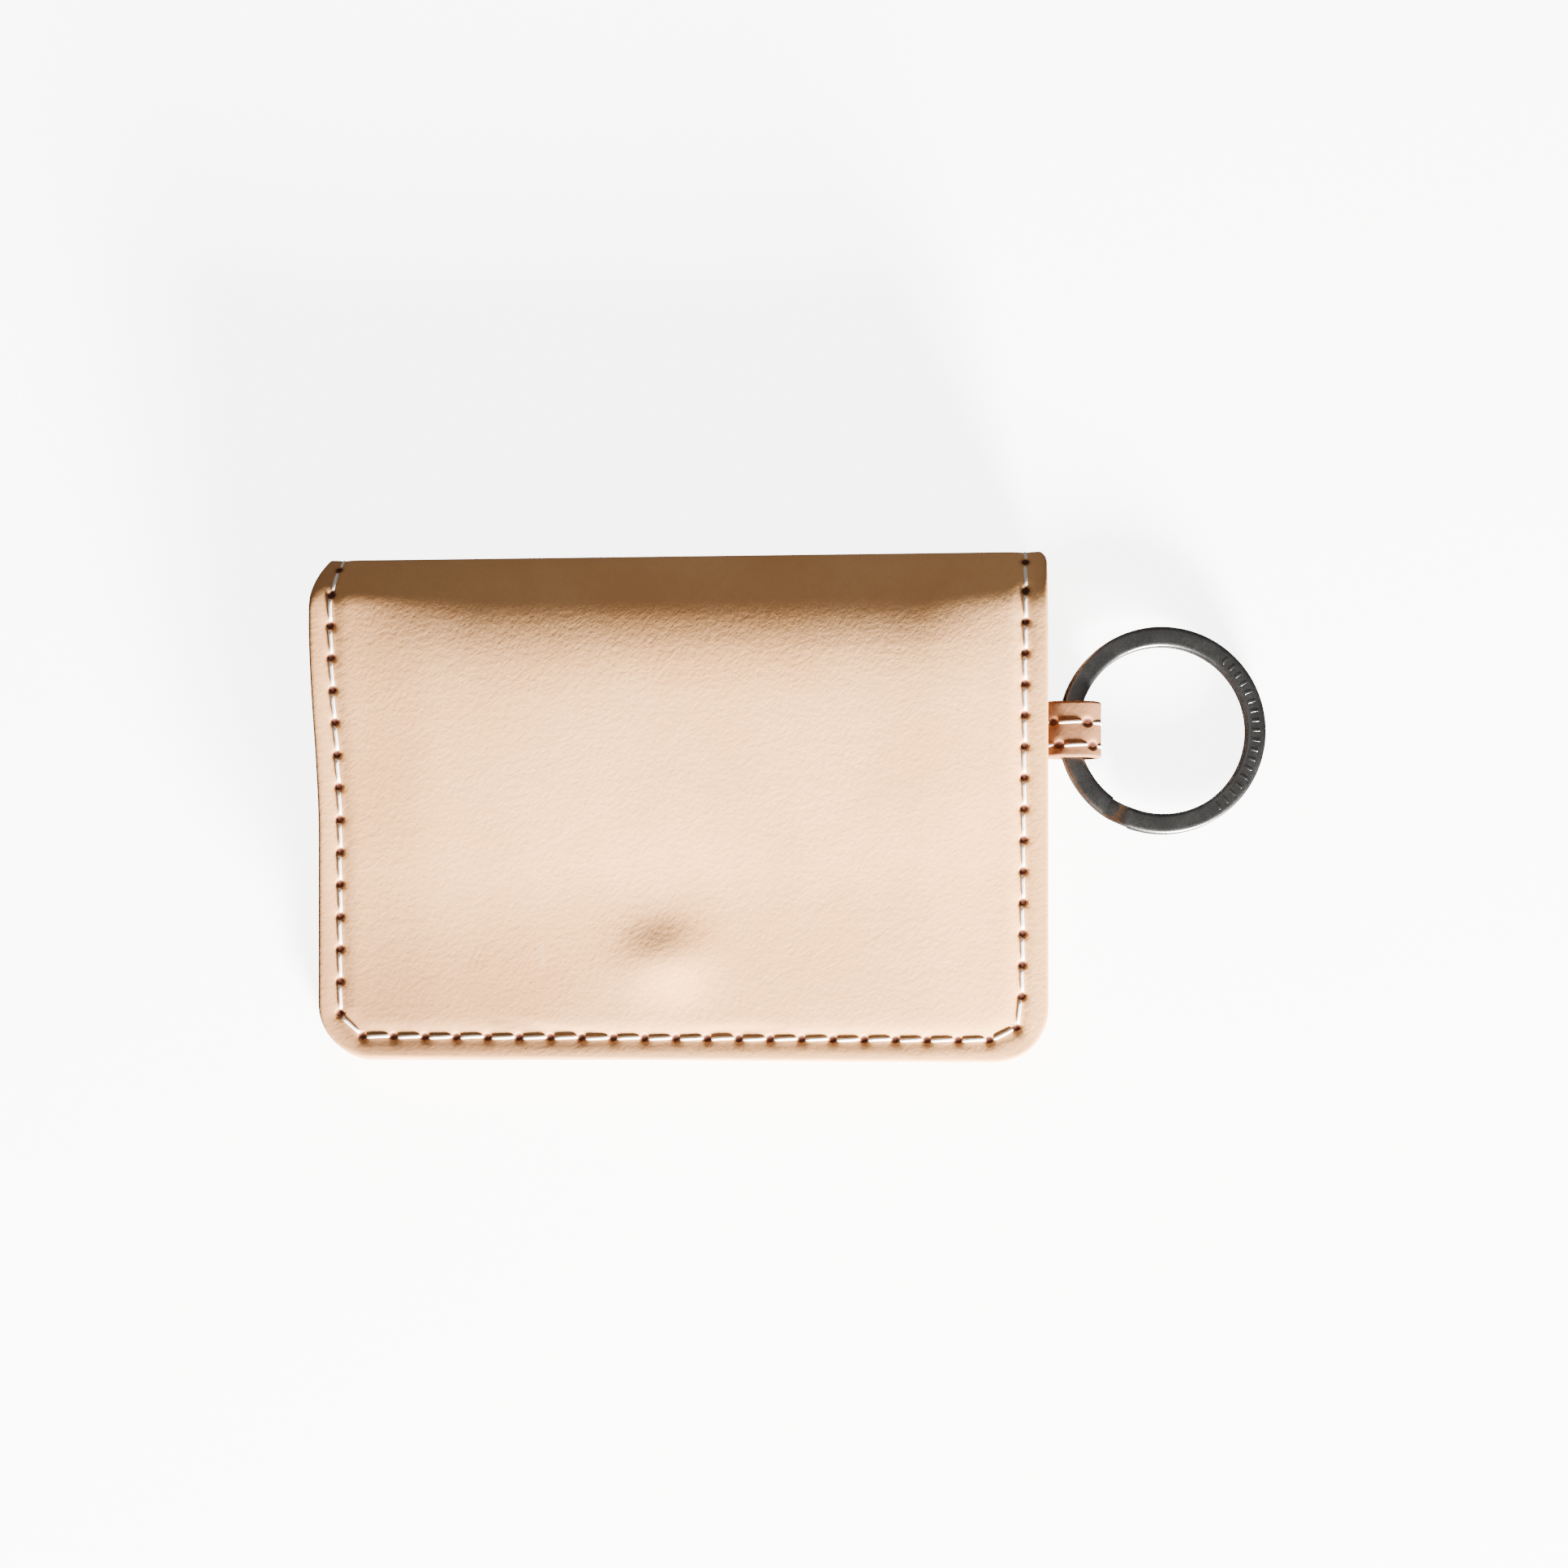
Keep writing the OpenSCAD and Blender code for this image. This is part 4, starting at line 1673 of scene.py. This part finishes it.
        style = ThreadRun(f"{self.half.value}_pocket_thread", dive=0.4, rise=0.04)
        thread = style.lay(self.seam.runs(), on_pocket, flip)
        dress(thread, self.finishes.thread)
        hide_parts(f"{self.half.value}_seam_inner")
        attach(thread, self.half.value)
        return sheet


@dataclass
class SideLoop:
    """The strap folded round the ring and sewn into the right-hand seam, with its two rows of stitches."""

    form: HolderForm
    finishes: Finishes
    mid_y: float
    mid_z: float
    width: float = 7.9
    thick: float = 1.2
    end_x: float = 55.8
    end_r: float = 2.25
    root_x: float = 46.2
    rows: tuple[float, ...] = (0.95, -2.3)
    first_holes: tuple[float, ...] = (52.1, 52.7)
    pitch: float = 4.5
    # Where the painted shade at the loop's roots fades out.
    dark_root_x: float = 52.6
    pinch_x: tuple[float, float] = (50.5, 52.3)

    @classmethod
    def in_frame(cls, form: HolderForm, finishes: Finishes) -> "SideLoop":
        """Takes the strap's place from the joint that it bends on.

        Args:
            form: The holder's form.
            finishes: The materials.

        Returns:
            The loop.
        """
        _, y, z = joint_row("tab_flex")["pos_m"]
        return cls(form, finishes, mid_y=y / MM, mid_z=z / MM)

    def __post_init__(self) -> None:
        """Works out the strap's middle line, from the upper root round the ring to the lower root."""
        upper = [(self.root_x, 0.4), (48.5, 0.42), (50.3, 0.46), (51.0, 0.78), (51.7, 1.45), (52.4, 2.02),
                 (53.2, 2.25), (54.5, 2.27)]
        arc = [(self.end_x + self.end_r * math.sin(a), self.end_r * math.cos(a))
               for a in np.linspace(0.0, math.pi, 17)]
        lower = [(x, -z - (0.35 if x < 51 else 0.0) * (z < 1)) for x, z in upper[::-1]]
        points = np.array(upper + arc + lower) + (0, self.mid_z)
        steps = np.r_[0, np.cumsum(np.linalg.norm(np.diff(points, axis=0), axis=1))]
        self.total = float(steps[-1])
        fine = np.linspace(0, self.total, 161)
        line = np.column_stack([np.interp(fine, steps, points[:, k]) for k in (0, 1)])
        self.fine, self.line = fine, eased(line, 10)

    def at(self, length: Array, y: Array, h: Array) -> Array:
        """Places points on the strap.

        Args:
            length: Along the strap's middle line.
            y: Across, from its middle.
            h: Outwards from the middle of its thickness.

        Returns:
            The points, in millimetres.
        """
        x, z = (np.interp(length, self.fine, self.line[:, k]) for k in (0, 1))
        dx, dz = (np.interp(length, self.fine, np.gradient(self.line[:, k], self.fine)) for k in (0, 1))
        norm = np.hypot(dx, dz)
        return np.column_stack([x - h * dz / norm, self.mid_y + y, z + h * dx / norm])

    def shape(self, flat: Array) -> Array:
        """Bends the flat strap round the ring, with rounded edges and pulled-in stitches.

        Args:
            flat: Points of the blank, across, along and above its face.

        Returns:
            The points, in millimetres.
        """
        y, length, h = flat.T
        gap = self.width / 2 - np.abs(y)
        depth = np.clip(-h / self.thick, 0, 1)
        drop = 0.28 * np.clip(1 - np.clip(gap, 0, None) / 0.28, 0, 1) ** 2
        relief = sum(seam.relief(y, length) for seam in self.seams)
        h = h + self.thick / 2 + (2 * depth - 1) * drop + relief * 0.75 * (1 - depth)
        return self.at(length, -y, h)

    def length_at(self, x: float) -> float:
        """Returns how far along the strap its upper run passes x."""
        upper = self.line[: len(self.line) // 2, 0]
        return float(np.interp(x, upper, self.fine[: len(upper)]))

    def build(self) -> list[bpy.types.Object]:
        """Makes the strap and its thread.

        Returns:
            The strap and the thread.
        """
        self.seams, runs = [], []
        for row, x in zip(self.rows, self.first_holes):
            first = self.length_at(x)
            count = int((self.total - 2 * (first - self.pitch)) / self.pitch)
            holes = [np.array([-row, first + self.pitch * k]) for k in range(-1, count)]
            seam = Seam(holes, depth=0.18, valley=0.09, fold_share=1.0)
            self.seams.append(seam)
            runs += seam.runs()
        near = (0, 0.08, 0.2, 0.4)
        columns = graded(-self.width / 2, self.width / 2, 0.2, near)
        strap = blank("loop_strap", columns, np.linspace(0, self.total, 130), self.thick)
        y, length, _ = coords(strap).T
        keep_seams(strap, self.seams, y, length)
        store(strap, "specks_and_crease_shade", np.zeros(len(y)))
        worn = self.length_at(self.dark_root_x)
        from_end = np.minimum(length, self.total - length)
        # Painted shade: the loop darker towards its roots, where it runs in beside the holder.
        root = ramp(from_end, worn, worn - 2.2)
        rim = ramp(np.abs(y), self.width / 2 - 0.8, self.width / 2)
        # Real darkening along its rim, plus the painted shade at its roots and an even painted darkening of
        # 0.1.
        store(strap, "tan", np.clip(0.25 * rim + 0.6 * root + 0.1, 0, 1))
        store(strap, "scratch", np.zeros(len(y)))
        form(strap, self.shape)
        turn_outwards(strap)
        shade(strap, 50)
        dress(strap, self.finishes.loop, self.finishes.edge, self.finishes.flesh)
        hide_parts("tab_loop", "tab_anchor")

        def on_strap(p: Array) -> Array:
            """Places thread on the strap's outer face.

            Args:
                p: Its points, across, along and above that face.

            Returns:
                The points, pressed flat where the strap rests on the table.
            """
            laid = self.at(p[:, 1], -p[:, 0], p[:, 2] + self.thick / 2)
            laid[:, 2] = np.maximum(laid[:, 2], 0.02)
            return laid

        thread = ThreadRun("loop_thread", width=0.46, level=-0.20, rise=0.16).lay(runs, on_strap, False)
        turn_outwards(thread)
        dress(thread, self.finishes.thread)
        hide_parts("tab_stitching")
        for piece in (strap, thread):
            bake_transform(piece)
        return [strap, thread]


@dataclass
class RingCoil:
    """The flat split ring: one wire wound twice, with a short step between its coils."""

    finishes: Finishes
    centre: tuple[float, float, float]
    tilt: float
    outer_d: float = 29.2
    band: float = 2.8
    coil_t: float = 1.35
    gap: float = 0.1
    step_at: float = 242.0
    step_half: float = 8.0
    soft: tuple[float, float] = (0.66, 0.40)
    degrees_a_step: float = 2.0
    bar: tuple[float, float, float] = (1.10, 0.36, 0.10)
    bar_bevel: float = 0.045

    @classmethod
    def in_frame(cls, finishes: Finishes) -> "RingCoil":
        """Takes the ring's centre and tilt from the joint that it spins on.

        Args:
            finishes: The materials.

        Returns:
            The ring.
        """
        spin = joint_row("ring_spin")
        x, y, z = (place / MM for place in spin["pos_m"])
        return cls(finishes, centre=(x, y, z), tilt=math.asin(spin["axis"][0]))

    def section(self) -> list[tuple[float, float]]:
        """Draws the outline of the wire, a flat band with rounded corners.

        Returns:
            Its corners as distance from the ring's axis and height.
        """
        p, q = self.soft
        a, b = self.band / 2 - p, self.coil_t / 2 - q
        middle = (self.outer_d - self.band) / 2
        corners = []
        for cx, cz, start in ((a, -b, -90), (a, b, 0), (-a, b, 90), (-a, -b, 180)):
            for k in range(5):
                t = math.radians(start + 22.5 * k)
                corners.append((middle + cx + p * math.cos(t), cz + q * math.sin(t)))
        return corners

    def place(self, points: Array) -> Array:
        """Tilts points with the ring and moves them to its centre.

        Args:
            points: Points round the ring's axis, in millimetres.

        Returns:
            Their places on the holder, in millimetres.
        """
        c, s = math.cos(self.tilt), math.sin(self.tilt)
        x, y, z = points.T
        return np.column_stack([x * c + z * s, y, z * c - x * s]) + self.centre

    def build(self) -> bpy.types.Object:
        """Spins the wire, lifts its second turn and caps its two ends.

        Returns:
            The ring.
        """
        section = self.section()
        turn = 720 - 2 * self.step_half
        steps = round(turn / self.degrees_a_step)
        ring = lathe("ring_coil", section, turn, steps)
        co = coords(ring)
        angle = self.degrees_a_step * (np.arange(len(co)) // len(section))
        half = 360 - 2 * self.step_half
        level = (self.coil_t + self.gap) / 2
        radius = np.hypot(co[:, 0], co[:, 1])
        at = np.radians(self.step_at + self.step_half + angle)
        z = co[:, 2] + level * (2 * ramp(angle, half, half + 2 * self.step_half) - 1)
        set_coords(ring, self.place(np.column_stack([radius * np.cos(at), radius * np.sin(at), z])) * MM)

        def cap() -> None:
            """Closes the wire's two ends and turns its faces outwards."""
            bpy.ops.mesh.select_all(action="SELECT")
            bpy.ops.mesh.fill_holes(sides=0)
            bpy.ops.mesh.select_all(action="SELECT")
            bpy.ops.mesh.normals_make_consistent(inside=False)

        in_edit_mode(ring, cap)
        shade(ring, 40)
        dress(ring, self.finishes.ring)
        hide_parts("split_ring")
        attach(ring, "ring")
        return ring

    def grip(self, first: float = 48.0, last: float = -54.0, count: int = 18) -> bpy.types.Object:
        """Raises short identical bars on the right-hand arc of the top face.

        Args:
            first: Angle of the first bar, in degrees.
            last: Angle of the last bar.
            count: How many bars there are.

        Returns:
            The bars as one object.
        """
        deselect()
        bpy.ops.mesh.primitive_cube_add(size=1)
        bar = take_new("ring_grip")
        set_coords(bar, coords(bar) * self.bar)

        def soften() -> None:
            """Rounds the bar's edges."""
            bpy.ops.mesh.bevel(offset=self.bar_bevel, segments=2, affect="EDGES")

        in_edit_mode(bar, soften)
        base = coords(bar)
        middle = (self.outer_d - self.band) / 2
        top = (self.coil_t + self.gap) / 2 + self.coil_t / 2
        parts = []
        for turn in np.radians(np.linspace(first, last, count)):
            part = twin(bar)
            x, y, z = base[:, 0] + middle, base[:, 1], base[:, 2] + top
            c, s = math.cos(turn), math.sin(turn)
            set_coords(part, self.place(np.column_stack([x * c - y * s, x * s + y * c, z])) * MM)
            parts.append(part)
        bpy.data.objects.remove(bar)
        bars = join("ring_grip", parts)
        shade(bars, 60)
        dress(bars, self.finishes.ring)
        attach(bars, "ring")
        return bars


@dataclass
class Fittings:
    """The snap's metal parts and the clear window, which keep their own shapes."""

    finishes: Finishes

    def dress_all(self) -> None:
        """Gives each kept part its finish."""
        for node in ("snap_stud", "snap_post", "snap_cap", "snap_socket"):
            dress(frame["nodes"][node], self.finishes.snap)
        dress(frame["nodes"]["snap_spring"], self.finishes.spring)
        dress(frame["nodes"]["id_window"], self.finishes.sheet)
        LOG.info("dressed the snap and the window")


@dataclass
class Studio:
    """The camera, the pale floor and the lights."""

    aim: tuple[float, float, float] = (0.0140, 0.0031, 0.0120)
    distance: float = 1.0
    elevation: float = math.radians(85.5)
    lens: float = 164.9
    floor_size: float = 6.0
    glow: float = 6.0
    sky: float = 0.26

    def build(self) -> None:
        """Sets the camera, floor, lights and world."""
        camera = bpy.data.cameras.new("camera")
        camera.lens = self.lens
        camera.sensor_width = 36
        camera.clip_start = 0.01
        holder = bpy.data.objects.new("camera", camera)
        bpy.context.scene.collection.objects.link(holder)
        aim = Vector(self.aim)
        back = Vector((0, -math.cos(self.elevation), math.sin(self.elevation)))
        holder.location = aim + back * self.distance
        holder.rotation_euler = (-back).to_track_quat("-Z", "Y").to_euler()
        bpy.context.scene.camera = holder
        self.floor()
        self.light("key", (0.38, -0.93, 0.195), (0.34, 0.18), 268.0, (1.0, 0.985, 0.965))
        self.light("fill", (-0.25, 0.35, 1.1), (0.8, 0.8), 1.2, (1.0, 0.99, 0.98))
        world = bpy.data.worlds.new("studio")
        bpy.context.scene.world = world
        world.use_nodes = True
        background = world.node_tree.nodes["Background"]
        background.inputs[0].default_value = (1, 0.99, 0.975, 1)
        background.inputs[1].default_value = self.sky

    def floor(self) -> None:
        """Lays the pale floor under the holder, glowing a little so that it stays pale in shadow."""
        deselect()
        bpy.ops.mesh.primitive_plane_add(size=self.floor_size, location=(0, 0, -0.0002))
        floor = take_new("floor")
        n = Nodes("floor_paper")
        colour = n.mix(n.ramp(n.noise(60, 3), 0.3, 0.7, 0, 0.3), (0.90, 0.895, 0.885), (0.86, 0.855, 0.845))
        dress(floor, n.surface(Base_Color=colour, Roughness=0.8, Emission_Color=(1.0, 0.995, 0.985),
                               Emission_Strength=self.glow))
        floor.visible_diffuse = False
        floor.visible_glossy = False

    def light(self, name: str, place: tuple[float, float, float], size: tuple[float, float], power: float,
              colour: tuple[float, float, float]) -> None:
        """Hangs a soft rectangular light aimed at the holder.

        Args:
            name: Its name.
            place: Where it hangs, in metres.
            size: Its width and height, in metres.
            power: Its power, in watts.
            colour: Its colour.
        """
        lamp = bpy.data.lights.new(name, "AREA")
        lamp.shape = "RECTANGLE"
        lamp.size, lamp.size_y = size
        lamp.energy, lamp.color = power, colour
        holder = bpy.data.objects.new(name, lamp)
        holder.location = place
        holder.rotation_euler = (Vector(self.aim) - Vector(place)).to_track_quat("-Z", "Y").to_euler()
        bpy.context.scene.collection.objects.link(holder)


def main() -> None:
    """Builds the holder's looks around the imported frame, piece by piece."""
    logging.basicConfig(level=logging.INFO, format="%(name)s: %(message)s")
    holder = HolderForm.in_frame()
    finishes = Finishes.make()
    Studio().build()
    for cover in (Cover(holder, finishes, Half.FRONT),
                  Cover(holder, finishes, Half.BACK, step=0.62, window=(78.0, 42.0))):
        hide, _ = cover.build()
        LOG.info("made %s, %d faces", hide.name, len(hide.data.polygons))
    for half in Half:
        strip = Lining(holder, finishes, half).build()
        LOG.info("made %s", strip.name)
        bridge = (44.9, -16.5, 5.0, 1.9) if half is Half.BACK else None
        sheet = Pocket(holder, finishes, half, bridge=bridge).build()
        LOG.info("made %s", sheet.name)
    for piece in SideLoop.in_frame(holder, finishes).build():
        LOG.info("made %s", piece.name)
    ring = RingCoil.in_frame(finishes)
    LOG.info("made %s and %s", ring.build().name, ring.grip().name)
    Fittings(finishes).dress_all()


if __name__ == "__main__":
    main()
